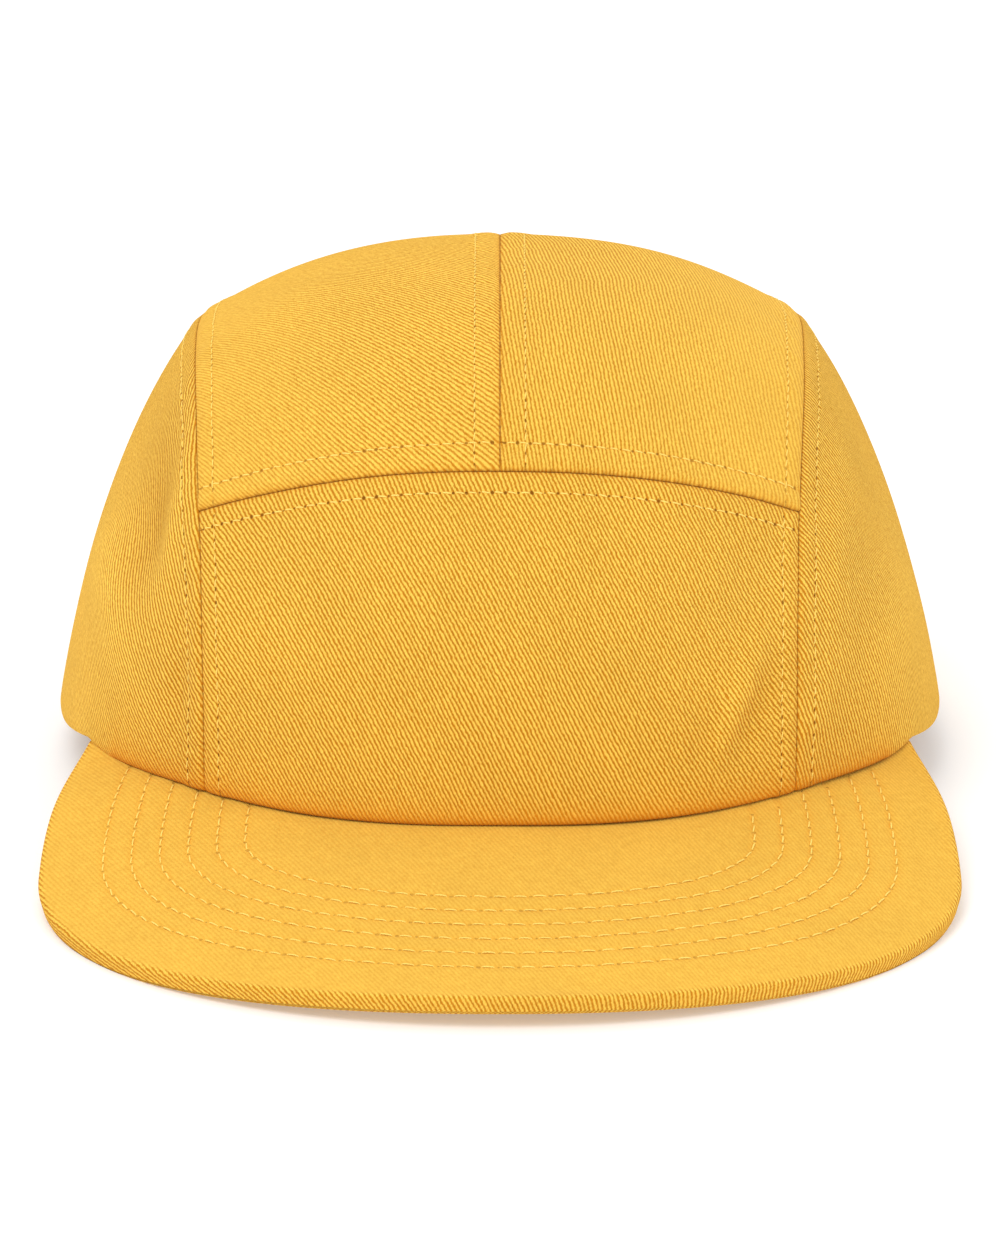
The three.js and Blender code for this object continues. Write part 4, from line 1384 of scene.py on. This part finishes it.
class Bench:
    """A small bench on which a material's nodes are put together."""

    def __init__(self, name):
        self.material = bpy.data.materials.new(name)
        self.material.use_nodes = True
        self.tree = self.material.node_tree
        self.tree.nodes.clear()
        self.column = 0

    def add(self, kind, **settings):
        made = self.tree.nodes.new(kind)
        made.location = (self.column * 180, 0)
        self.column += 1
        for name, value in settings.items():
            setattr(made, name, value)
        return made

    def join(self, value, socket):
        if isinstance(value, Value):
            self.tree.links.new(value.socket, socket)
        else:
            socket.default_value = tuple(value) + (1.0,) if hasattr(value, "__len__") else value

    def made(self, node, values, output=0):
        for value, socket in zip(values, node.inputs):
            self.join(value, socket)
        return Value(self, node.outputs[output])

    def math(self, operation, *values, clamp=False):
        return self.made(self.add("ShaderNodeMath", operation=operation, use_clamp=clamp), values)

    def together(self, x, y, z=0.0):
        return self.made(self.add("ShaderNodeCombineXYZ"), (x, y, z))

    def grey(self, value):
        return self.together(value, value, value)

    def step(self, value, low, high):
        """A smooth step from 0 to 1 as the value goes from low to high."""
        made = self.add("ShaderNodeMapRange", interpolation_type="SMOOTHSTEP")
        return self.made(made, (value, low, high, 0.0, 1.0))

    def wave(self, value, rate=1.0):
        """A cosine between 0 and 1, with this many waves to one of the value."""
        return self.math("COSINE", value * (2 * math.pi * rate)) * 0.5 + 0.5

    def fade(self, value, reach):
        """From 1 down towards 0 as the value grows past its reach."""
        return self.math("EXPONENT", value / reach * -1.0)

    def mix(self, share, first, second, blend="MIX"):
        made = self.add("ShaderNodeMix", data_type="RGBA", blend_type=blend)
        for value, at in ((share, 0), (first, 6), (second, 7)):
            self.join(value, made.inputs[at])
        return Value(self, made.outputs[2])

    def map(self, name):
        split = self.add("ShaderNodeSeparateXYZ")
        self.tree.links.new(self.add("ShaderNodeUVMap", uv_map=name).outputs[0], split.inputs[0])
        return Value(self, split.outputs[0]), Value(self, split.outputs[1])

    def place(self):
        return Value(self, self.add("ShaderNodeTexCoord").outputs["Object"])

    def noise(self, vector, scale, detail=2.0):
        made = self.add("ShaderNodeTexNoise")
        for value, socket in ((vector, "Vector"), (scale, "Scale"), (detail, "Detail")):
            self.join(value, made.inputs[socket])
        return Value(self, made.outputs["Fac"])

    def swing(self, vector, scale, detail=2.0):
        """Noise that swings about 0."""
        return self.noise(vector, scale, detail) - 0.5

    def holes(self):
        """How far the nearest needle hole is, in stitches, its number, and how far off the row."""
        number, off = self.map("sewing")
        turn = self.math("FRACT", number + 0.5) - 0.5
        away = self.math("SQRT", turn * turn + off * off)
        return away, number, off

    def bump(self, height, distance):
        made = self.add("ShaderNodeBump")
        made.inputs["Strength"].default_value = 1.0
        made.inputs["Distance"].default_value = distance
        self.join(height, made.inputs["Height"])
        return Value(self, made.outputs[0])

    def finish(self, colour, normal, roughness, sheen=0.0, sheen_roughness=0.5, tint=(1, 1, 1),
               specular=0.3):
        shader = self.add("ShaderNodeBsdfPrincipled")
        for name, value in (("Base Color", colour), ("Normal", normal), ("Roughness", roughness),
                            ("Sheen Weight", sheen), ("Sheen Roughness", sheen_roughness),
                            ("Sheen Tint", tint), ("Specular IOR Level", specular)):
            if value is not None:
                self.join(value, shader.inputs[name])
        self.tree.links.new(shader.outputs[0], self.add("ShaderNodeOutputMaterial").inputs[0])
        return self.material


def twill_cloth(cloth, pitch, seam_pitch, name):
    """Cotton twill: ridges running down to the right, each made of short floats of yarn."""
    b = Bench(name)
    x, y = b.map("cloth")
    strength, hem = b.map("finish")
    place = b.together(x, y)
    bend, fine_bend = b.swing(place, 130.0), b.swing(place, 1100.0, 1.0)
    warp = x / cloth.yarn_width
    both = (warp + y / cloth.float_length) / 3.0 + bend * 0.9 + fine_bend * 0.5
    # Each ridge is a ladder of floats: the yarns across it show as short rungs
    body = b.wave(both) * (b.wave(warp + fine_bend) * 0.25 + 0.75)
    # Thick and thin yarns, knots and loose fibres
    streak = b.swing(b.together(warp, y * 140.0), 1.7, 1.0)
    knots, fleck = b.swing(place, 1450.0), b.swing(place, 3600.0, 1.0)
    mottle, blotch = b.swing(place, 55.0, 3.0), b.swing(place, 520.0)
    uneven = (knots * 1.1 + fleck * 0.5 + streak * 0.4) * (strength * 0.7 + 0.22)
    # Painted light and shade of the weave: the ridges take the yarn's colour with a painted
    # highlight and the valleys with a painted shade, more strongly where the light grazes the
    # ridges, on the upright faces, than where it falls flat, as on the peak
    level = (b.step(body, 0.02, 0.72) - 0.62) * strength + uneven
    colour = b.mix(b.math("ADD", level, 0.62, clamp=True), cloth.valley_colour, cloth.ridge_colour)
    # Where the ridges hardly show, the cloth is blotched instead
    plain = b.math("SUBTRACT", 1.0, strength, clamp=True)
    # Painted shade: where the ridges hardly show, chiefly on the peak, whose top faces the light
    # from above, the cloth is painted a little darker
    shade = mottle * 0.16 + 1.0 - plain * plain * 0.06
    # Painted shade and light of the folds: a fold's valley is painted a little darker, as its
    # shade, and its ridge paler, as its light; the blotches are added to the same tones
    relief = b.map("relief")[0] + blotch * plain * 2.6
    tones = [shade + relief * by for by in (0.07, 0.105, 0.15)]
    colour = b.mix(1.0, colour, b.together(*tones), "MULTIPLY")
    # Painted shade in a seam: deep in it the cloth is painted brown, as the shade in its groove,
    # with a knot of it at each of the seam's own stitches, and a little warm shade beside it
    seam_along, seam = b.map("seam")
    knot = b.math("POWER", b.wave(seam_along, MM / seam_pitch), 6.0)
    ragged = (b.noise(b.together(seam_along, 0.0), 0.9) - 0.34) * 0.66 + 0.06
    reach = b.math("MAXIMUM", ragged, 0.05) + knot * 0.08
    colour = b.mix(b.fade(seam, 0.8) * 0.30, colour, cloth.warm_shade_colour)
    dark = b.math("MULTIPLY", b.fade(seam, reach), 0.95, clamp=True)
    colour = b.mix(dark, colour, cloth.seam_shade_colour)
    # Painted light and shade at the hem over the peak: it is painted warm and darker where it turns
    # under, as the peak's warm light and the shade there, and brown at its very edge, as the shadow
    # between hem and peak
    colour = b.mix(b.fade(hem, 2.3) * 0.95, colour, cloth.warm_shade_colour)
    colour = b.mix(b.fade(hem, 0.45) * 0.85, colour, cloth.seam_shade_colour)
    # Needle holes at every stitch end, some of which have closed again; they are painted dark
    # brown, as the shade in them
    away, number, off = b.holes()
    chance = b.noise(b.together(b.math("ROUND", number) * 3.7, 0.0), 1.0, 0.0)
    away = away * (pitch / MM) / (b.step(chance, 0.35, 0.65) * 0.75 + 0.45)
    hole = 1.0 - b.step(away, 0.16, b.math("MAXIMUM", knots * 0.9 + 0.42, 0.18))
    # The shade of the channel that the thread draws in
    channel = b.math("EXPONENT", off * off * -22.0)
    colour = b.mix(channel * 0.15, colour, cloth.warm_shade_colour)
    colour = b.mix(hole * (strength * 0.75 + 0.20), colour, cloth.seam_shade_colour)
    grain = (fleck * 0.3 + knots * 0.45 + streak * 0.4) * (strength * 0.6 + 0.38)
    grain = grain + body * (strength * 0.93 + 0.04) - hole * 0.8
    normal = b.bump(grain, cloth.weave_depth)
    return b.finish(colour, normal, 0.9, 0.10, 0.5, cloth.fuzz_colour, 0.0)


def band_cotton(cloth, pitch):
    """Plain woven cotton for the band: over and under, one yarn at a time."""
    b = Bench("band_cotton")
    x, y = b.map("cloth")
    place = b.together(x, y)
    yarns = [b.math("SINE", along * (math.pi / (0.42 * MM))) for along in (x, y)]
    weave = yarns[0] * yarns[1] * 0.5 + 0.5
    fleck = b.noise(place, 2200.0, 1.0)
    level = b.math("ADD", weave, (fleck - 0.5) * 0.7, clamp=True)
    colour = b.mix(level, cloth.band_dark, cloth.band_colour)
    colour = b.mix(1.0, colour, b.grey(b.swing(place, 60.0) * 0.14 + 1.0), "MULTIPLY")
    # Needle holes, painted dark brown as the shade in them
    hole = 1.0 - b.step(b.holes()[0] * (pitch / MM), 0.12, 0.34)
    colour = b.mix(hole * 0.8, colour, cloth.seam_shade_colour)
    normal = b.bump(weave + fleck - hole, 0.08 * MM)
    return b.finish(colour, normal, 0.92, 0.2, 0.5, cloth.band_colour, 0.2)


def sewing_thread(stitches):
    """Twisted polyester thread, with two plies winding round each other."""
    b = Bench("yellow_thread")
    u, v = b.map("thread")
    plies = b.math("SINE", (u * 4.5 + v * 2.0) * (2 * math.pi)) * 0.5 + 0.5
    level = b.math("ADD", plies * 0.65, b.noise(b.place(), 420.0, 1.0) * 0.45, clamp=True)
    colour = b.mix(level, stitches.shade_colour, stitches.thread_colour)
    # The ends dive into the cloth, and are painted darker there, as the shade where they go in
    ends = b.step(b.math("ABSOLUTE", u - 0.5), 0.42, 0.5)
    colour = b.mix(ends * 0.4, colour, stitches.shade_colour)
    return b.finish(colour, b.bump(plies, 0.05 * MM), 0.7, 0.0, 0.4, specular=0.08)


def clasp_plastic(clasp):
    """Moulded plastic with a fine, even grain."""
    b = Bench("moulded_plastic")
    place = b.place()
    grain = b.noise(place, 4200.0)
    colour = b.mix(1.0, clasp.colour, b.grey(b.swing(place, 160.0) * 0.10 + 1.0), "MULTIPLY")
    return b.finish(colour, b.bump(grain, 0.015 * MM), grain * 0.14 + 0.36, specular=0.5)


def floor_finish(stage):
    """A pale matt floor with the faintest unevenness, which glows a little to keep shadows pale."""
    b = Bench("pale_floor")
    shade = b.grey(b.swing(b.place(), 2.0) * 0.01 + 1.0)
    colour = b.mix(1.0, stage.floor_colour, shade, "MULTIPLY")
    material = b.finish(colour, None, 0.9, specular=0.1)
    shader = next(made for made in b.tree.nodes if made.type == "BSDF_PRINCIPLED")
    shader.inputs["Emission Color"].default_value = (1.0, 1.0, 1.0, 1.0)
    shader.inputs["Emission Strength"].default_value = stage.floor_glow
    return material


def material_of(name, maker, *settings):
    return bpy.data.materials.get(name) or maker(*settings)


# ---------------------------------------------------------------- what a user may change

def metres(name, description, default):
    return FloatProperty(name=name, description=description, default=default, min=0.0,
                         subtype="DISTANCE", unit="LENGTH", precision=5)


def paint(name, description, default):
    return FloatVectorProperty(name=name, description=description, default=default, size=3,
                               subtype="COLOR", min=0.0, max=1.0)


def watts(name, description, default):
    return FloatProperty(name=name, description=description, default=default, min=0.0,
                         subtype="POWER", unit="POWER")


def degrees(name, description, default):
    return FloatProperty(name=name, description=description, default=math.radians(default),
                         subtype="ANGLE", unit="ROTATION")


def number(name, description, default, low=0.0, high=1000.0):
    return FloatProperty(name=name, description=description, default=default, min=low, max=high)


class CapPanelSettings(bpy.types.PropertyGroup):
    """How the crown's panels are sewn."""
    mesh_step: metres("Mesh step", "Spacing of the mesh in a panel's middle", 0.95 * MM)
    seam_depth: metres("Seam depth", "How deep the cloth is drawn in at a seam", 0.22 * MM)
    seam_roll: metres("Seam roll", "How far from a seam the cloth starts to roll in", 0.38 * MM)
    allowance: metres("Allowance", "Width of the raised seam allowance", 4.2 * MM)
    raise_by: metres("Allowance lift", "How far the allowance stands proud", 0.24 * MM)
    channel: metres("Stitch channel", "How deep a row of stitches draws the cloth in", 0.24 * MM)
    pucker: metres("Puckers", "Height of the puckers beside a seam", 0.17 * MM)
    wander: metres("Slow waves", "Height of the cloth's slow waves", 0.22 * MM)
    hem_depth: metres("Hem depth", "How far the cloth is drawn in at a hem", 0.6 * MM)
    hem_roll: metres("Hem roll", "How far from a hem the cloth starts to roll in", 2.2 * MM)
    lap: metres("Lap", "How far the top panels stand over the front panel", 0.3 * MM)
    front_row: metres("Strip row", "Row on the strip, from the side seam", 4.1 * MM)
    side_row: metres("Side row", "Row on a side panel, from its seam", 4.2 * MM)
    centre_row: metres("Centre row", "Row on a top panel, from the centre seam", 4.7 * MM)
    arch_row_above: metres("Row above the arch seam", "Distance from the arch seam", 5.9 * MM)
    arch_row_below: metres("Row below the arch seam", "Distance from the arch seam", 4.4 * MM)
    hem_row: metres("Cut-out row", "Row along the cut-out, from its edge", 5.0 * MM)


class CapClothSettings(bpy.types.PropertyGroup):
    """The cloth's weave and colours."""
    # The ridges' colour holds a painted highlight and the valleys' colour a painted shade, over the
    # yarn's own colour
    ridge_colour: paint("Ridges", "Colour of the twill's ridges", (1.0, 0.64, 0.100))
    valley_colour: paint("Valleys", "Colour between the ridges", (0.56, 0.205, 0.010))
    fuzz_colour: paint("Fuzz", "Colour of the loose fibres on the cloth", (1.0, 0.84, 0.52))
    # Painted warm shade: beside seams, in the stitch channels and at the peak's edge, and at the
    # hem over the peak, where it also stands for the peak's warm light
    warm_shade_colour: paint("Folds", "Warm colour in folds and channels", (0.84, 0.29, 0.012))
    # Painted shade: deep in a seam, in the needle holes of the twill and the band, and as the
    # shadow line at the hem over the peak
    seam_shade_colour: paint("Seam line", "Colour deep in a seam", (0.27, 0.085, 0.004))
    band_colour: paint("Band", "Colour of the inside band", (0.80, 0.45, 0.07))
    band_dark: paint("Band weave", "Darker yarns of the inside band", (0.55, 0.26, 0.03))
    yarn_width: metres("Yarn width", "From one warp yarn to the next", 0.28 * MM)
    float_length: metres("Float length", "From one weft yarn to the next", 0.49 * MM)
    weave_depth: metres("Weave depth", "Height of the twill's ridges", 0.22 * MM)


class CapStitchSettings(bpy.types.PropertyGroup):
    """The sewing thread and its stitches."""
    pitch: metres("Stitch length", "From one needle hole to the next", 2.4 * MM)
    width: metres("Thread width", "Thickness of the sewing thread", 0.33 * MM)
    thread_colour: paint("Thread", "Colour of the thread", (1.0, 0.79, 0.21))
    shade_colour: paint("Thread shade", "Colour between the thread's plies", (1.0, 0.65, 0.13))


class CapPeakSettings(bpy.types.PropertyGroup):
    """The quilted peak."""
    rows: IntProperty(name="Rows", description="Number of quilting rows", default=6, min=1, max=12)
    first_row: metres("First row", "From the peak's edge to the first row", 12.1 * MM)
    row_step: metres("Row step", "From one row to the next", 5.24 * MM)
    pitch: metres("Stitch length", "From one needle hole to the next", 3.6 * MM)
    quilt: metres("Quilting", "How far the cloth swells between two rows", 0.12 * MM)
    corner: metres("Edge radius", "Radius of the rolled edge's two corners", 0.9 * MM)
    grain: degrees("Grain", "Turn of the cloth's grain", 5)
    weave_scale: number("Weave scale", "Fineness of the peak's weave", 0.92, 0.2, 5.0)
    # How strongly the ridges and their painted light and shade show on the peak's flat top, where
    # the light falls flat
    weave_strength: number("Weave strength", "How much the ridges show", 0.16, 0.0, 1.0)


class CapClaspSettings(bpy.types.PropertyGroup):
    """The plain slide on the strap."""
    width: metres("Width", "Across the strap's way", 22 * MM)
    wall: metres("Wall", "Thickness in front of and behind the strap", 1.3 * MM)
    rail: metres("Rail", "Thickness above and below the strap", 1.95 * MM)
    bevel: metres("Edge", "Radius of the moulded edges", 0.45 * MM)
    colour: paint("Colour", "Colour of the plastic", (0.68, 0.33, 0.035))


class CapStageSettings(bpy.types.PropertyGroup):
    """Floor, lights and camera."""
    floor_colour: paint("Floor", "Colour of the floor", (0.80, 0.80, 0.80))
    floor_glow: number("Floor glow", "Light that the floor gives off", 0.24)
    floor_size: metres("Floor size", "Length of the floor's sides", 8.0)
    key: watts("Key light", "Power of the key light", 13.6)
    fill: watts("Fill light", "Power of the fill light", 4.3)
    back: watts("Back light", "Power of the light behind the crown", 5.2)
    sky: number("Surround", "Brightness of the white surround", 0.84)
    distance: metres("Camera distance", "From the camera to the rim's middle", 1.8)
    elevation: degrees("Camera height", "The camera's angle over the rim plane", 13.183)
    lens: FloatProperty(name="Lens", description="The camera's focal length", default=268.5,
                        subtype="DISTANCE_CAMERA", min=10.0)


SETTINGS = {
    "cap_panels": CapPanelSettings,
    "cap_cloth": CapClothSettings,
    "cap_stitches": CapStitchSettings,
    "cap_peak": CapPeakSettings,
    "cap_clasp": CapClaspSettings,
    "cap_stage": CapStageSettings,
}


# ---------------------------------------------------------------- operators

def twill_of(scene):
    pitch = scene.cap_stitches.pitch
    return material_of("yellow_twill", twill_cloth, scene.cap_cloth, pitch, pitch, "yellow_twill")


class CAP_OT_front_panel(bpy.types.Operator):
    """Sew the front panel"""
    bl_idname = "cap.front_panel"
    bl_label = "Front Panel"

    def execute(self, context):
        scene = context.scene
        make_front_panel(scene.cap_panels, scene.cap_stitches, twill_of(scene))
        return {"FINISHED"}


class CAP_OT_top_panels(bpy.types.Operator):
    """Sew the two top panels, with the cut-out at the back"""
    bl_idname = "cap.top_panels"
    bl_label = "Top Panels"

    def execute(self, context):
        scene = context.scene
        for hand in (-1, 1):
            make_top_panel(hand, scene.cap_panels, scene.cap_stitches, twill_of(scene))
        return {"FINISHED"}


class CAP_OT_side_panels(bpy.types.Operator):
    """Sew the two side panels"""
    bl_idname = "cap.side_panels"
    bl_label = "Side Panels"

    def execute(self, context):
        scene = context.scene
        for hand in (-1, 1):
            make_side_panel(hand, scene.cap_panels, scene.cap_stitches, twill_of(scene))
        return {"FINISHED"}


class CAP_OT_peak(bpy.types.Operator):
    """Make the quilted peak"""
    bl_idname = "cap.peak"
    bl_label = "Peak"

    def execute(self, context):
        scene = context.scene
        twill = material_of("peak_twill", twill_cloth, scene.cap_cloth, scene.cap_peak.pitch,
                            scene.cap_stitches.pitch, "peak_twill")
        make_peak(scene.cap_peak, twill)
        return {"FINISHED"}


class CAP_OT_band(bpy.types.Operator):
    """Make the cotton band inside the rim"""
    bl_idname = "cap.band"
    bl_label = "Inside Band"

    def execute(self, context):
        scene = context.scene
        cotton = material_of("band_cotton", band_cotton, scene.cap_cloth, scene.cap_stitches.pitch)
        dress(make_band("cotton_band", sweatband(), scene.cap_stitches, cotton),
              "band_cloth", "sweatband")
        return {"FINISHED"}


class CAP_OT_strap(bpy.types.Operator):
    """Make the strap across the cut-out"""
    bl_idname = "cap.strap"
    bl_label = "Strap"

    def execute(self, context):
        scene = context.scene
        dress(make_band("stitched_strap", back_strap(), scene.cap_stitches, twill_of(scene)),
              "twill", "back_strap")
        return {"FINISHED"}


class CAP_OT_clasp(bpy.types.Operator):
    """Make the plain slide on the strap"""
    bl_idname = "cap.clasp"
    bl_label = "Clasp"

    def execute(self, context):
        clasp = context.scene.cap_clasp
        make_clasp(clasp, material_of("moulded_plastic", clasp_plastic, clasp))
        return {"FINISHED"}


class CAP_OT_stitches(bpy.types.Operator):
    """Sew the rows of stitches on the crown, the peak, the band and the strap"""
    bl_idname = "cap.stitches"
    bl_label = "Stitches"

    def execute(self, context):
        scene = context.scene
        thread = material_of("yellow_thread", sewing_thread, scene.cap_stitches)
        make_crown_stitches(scene.cap_panels, scene.cap_stitches, thread)
        make_peak_stitches(scene.cap_peak, scene.cap_stitches, thread)
        make_band_stitches(scene.cap_stitches, thread)
        return {"FINISHED"}


def look(thing, place, target):
    """Put a light or the camera at a place, turned to look at a target."""
    thing.location = place
    thing.rotation_mode = "QUATERNION"
    thing.rotation_quaternion = (Vector(target) - Vector(place)).to_track_quat("-Z", "Y")
    bpy.context.scene.collection.objects.link(thing)


def add_light(name, place, target, side, power):
    data = bpy.data.lights.new(name, "AREA")
    data.shape = "RECTANGLE"
    data.size = data.size_y = side
    data.energy = power
    look(bpy.data.objects.new(name, data), place, target)


class CAP_OT_stage(bpy.types.Operator):
    """Set the floor, the soft lights and the camera"""
    bl_idname = "cap.stage"
    bl_label = "Stage"

    def execute(self, context):
        scene, stage = context.scene, context.scene.cap_stage
        half = stage.floor_size / 2
        corners = np.array(((-half, -half, 0), (half, -half, 0), (half, half, 0), (-half, half, 0)))
        floor = new_piece("floor", corners, [np.array(((0, 1, 2, 3),))], None,
                          material_of("pale_floor", floor_finish, stage))
        target = (0.0, 0.0, 0.04)
        add_light("key_light", (-0.55, -1.0, 1.7), target, 1.1, stage.key)
        add_light("fill_light", (1.3, -1.3, 0.8), target, 1.3, stage.fill)
        add_light("back_light", (-0.2, 1.1, 1.3), target, 1.1, stage.back)
        world = bpy.data.worlds.new("white_surround")
        world.use_nodes = True
        surround = world.node_tree.nodes["Background"]
        surround.inputs[0].default_value = (1.0, 1.0, 1.0, 1.0)
        surround.inputs[1].default_value = stage.sky
        scene.world = world
        scene.view_settings.view_transform = "Standard"
        data = bpy.data.cameras.new("camera")
        data.lens = stage.lens
        data.sensor_width = 36.0
        data.clip_start, data.clip_end = 0.05, 50.0
        camera = bpy.data.objects.new("camera", data)
        rise = stage.elevation
        aim = np.array((0.0, 0.0, 15.496 * MM))
        away = np.array((0.0, -math.cos(rise), math.sin(rise))) * stage.distance
        look(camera, rest(aim + away), rest(aim))
        scene.camera = camera
        return {"FINISHED"}


class CAP_PT_panel(bpy.types.Panel):
    """The cap's pieces and their settings"""
    bl_label = "Five Panel Cap"
    bl_idname = "CAP_PT_panel"
    bl_space_type = "VIEW_3D"
    bl_region_type = "UI"
    bl_category = "Cap"

    def draw(self, context):
        layout = self.layout
        for operator in OPERATORS:
            layout.operator(operator.bl_idname)
        for name, group in SETTINGS.items():
            box = layout.box()
            box.label(text=group.__doc__)
            for setting in group.__annotations__:
                box.prop(getattr(context.scene, name), setting)


OPERATORS = (
    CAP_OT_front_panel, CAP_OT_top_panels, CAP_OT_side_panels, CAP_OT_peak, CAP_OT_band,
    CAP_OT_strap, CAP_OT_clasp, CAP_OT_stitches, CAP_OT_stage,
)


def register():
    for group in SETTINGS.values():
        bpy.utils.register_class(group)
    for name, group in SETTINGS.items():
        setattr(bpy.types.Scene, name, PointerProperty(type=group))
    for operator in OPERATORS:
        bpy.utils.register_class(operator)
    bpy.utils.register_class(CAP_PT_panel)


def unregister():
    bpy.utils.unregister_class(CAP_PT_panel)
    for operator in reversed(OPERATORS):
        bpy.utils.unregister_class(operator)
    for name in SETTINGS:
        delattr(bpy.types.Scene, name)
    for group in reversed(SETTINGS.values()):
        bpy.utils.unregister_class(group)


def main():
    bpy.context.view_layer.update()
    for name in ("Cube", "Light", "Camera"):
        if name in bpy.data.objects:
            bpy.data.objects.remove(bpy.data.objects[name])
    register()
    for make in (bpy.ops.cap.stage, bpy.ops.cap.front_panel, bpy.ops.cap.top_panels,
                 bpy.ops.cap.side_panels, bpy.ops.cap.peak, bpy.ops.cap.band, bpy.ops.cap.strap,
                 bpy.ops.cap.clasp, bpy.ops.cap.stitches):
        make()


if __name__ == "__main__":
    main()
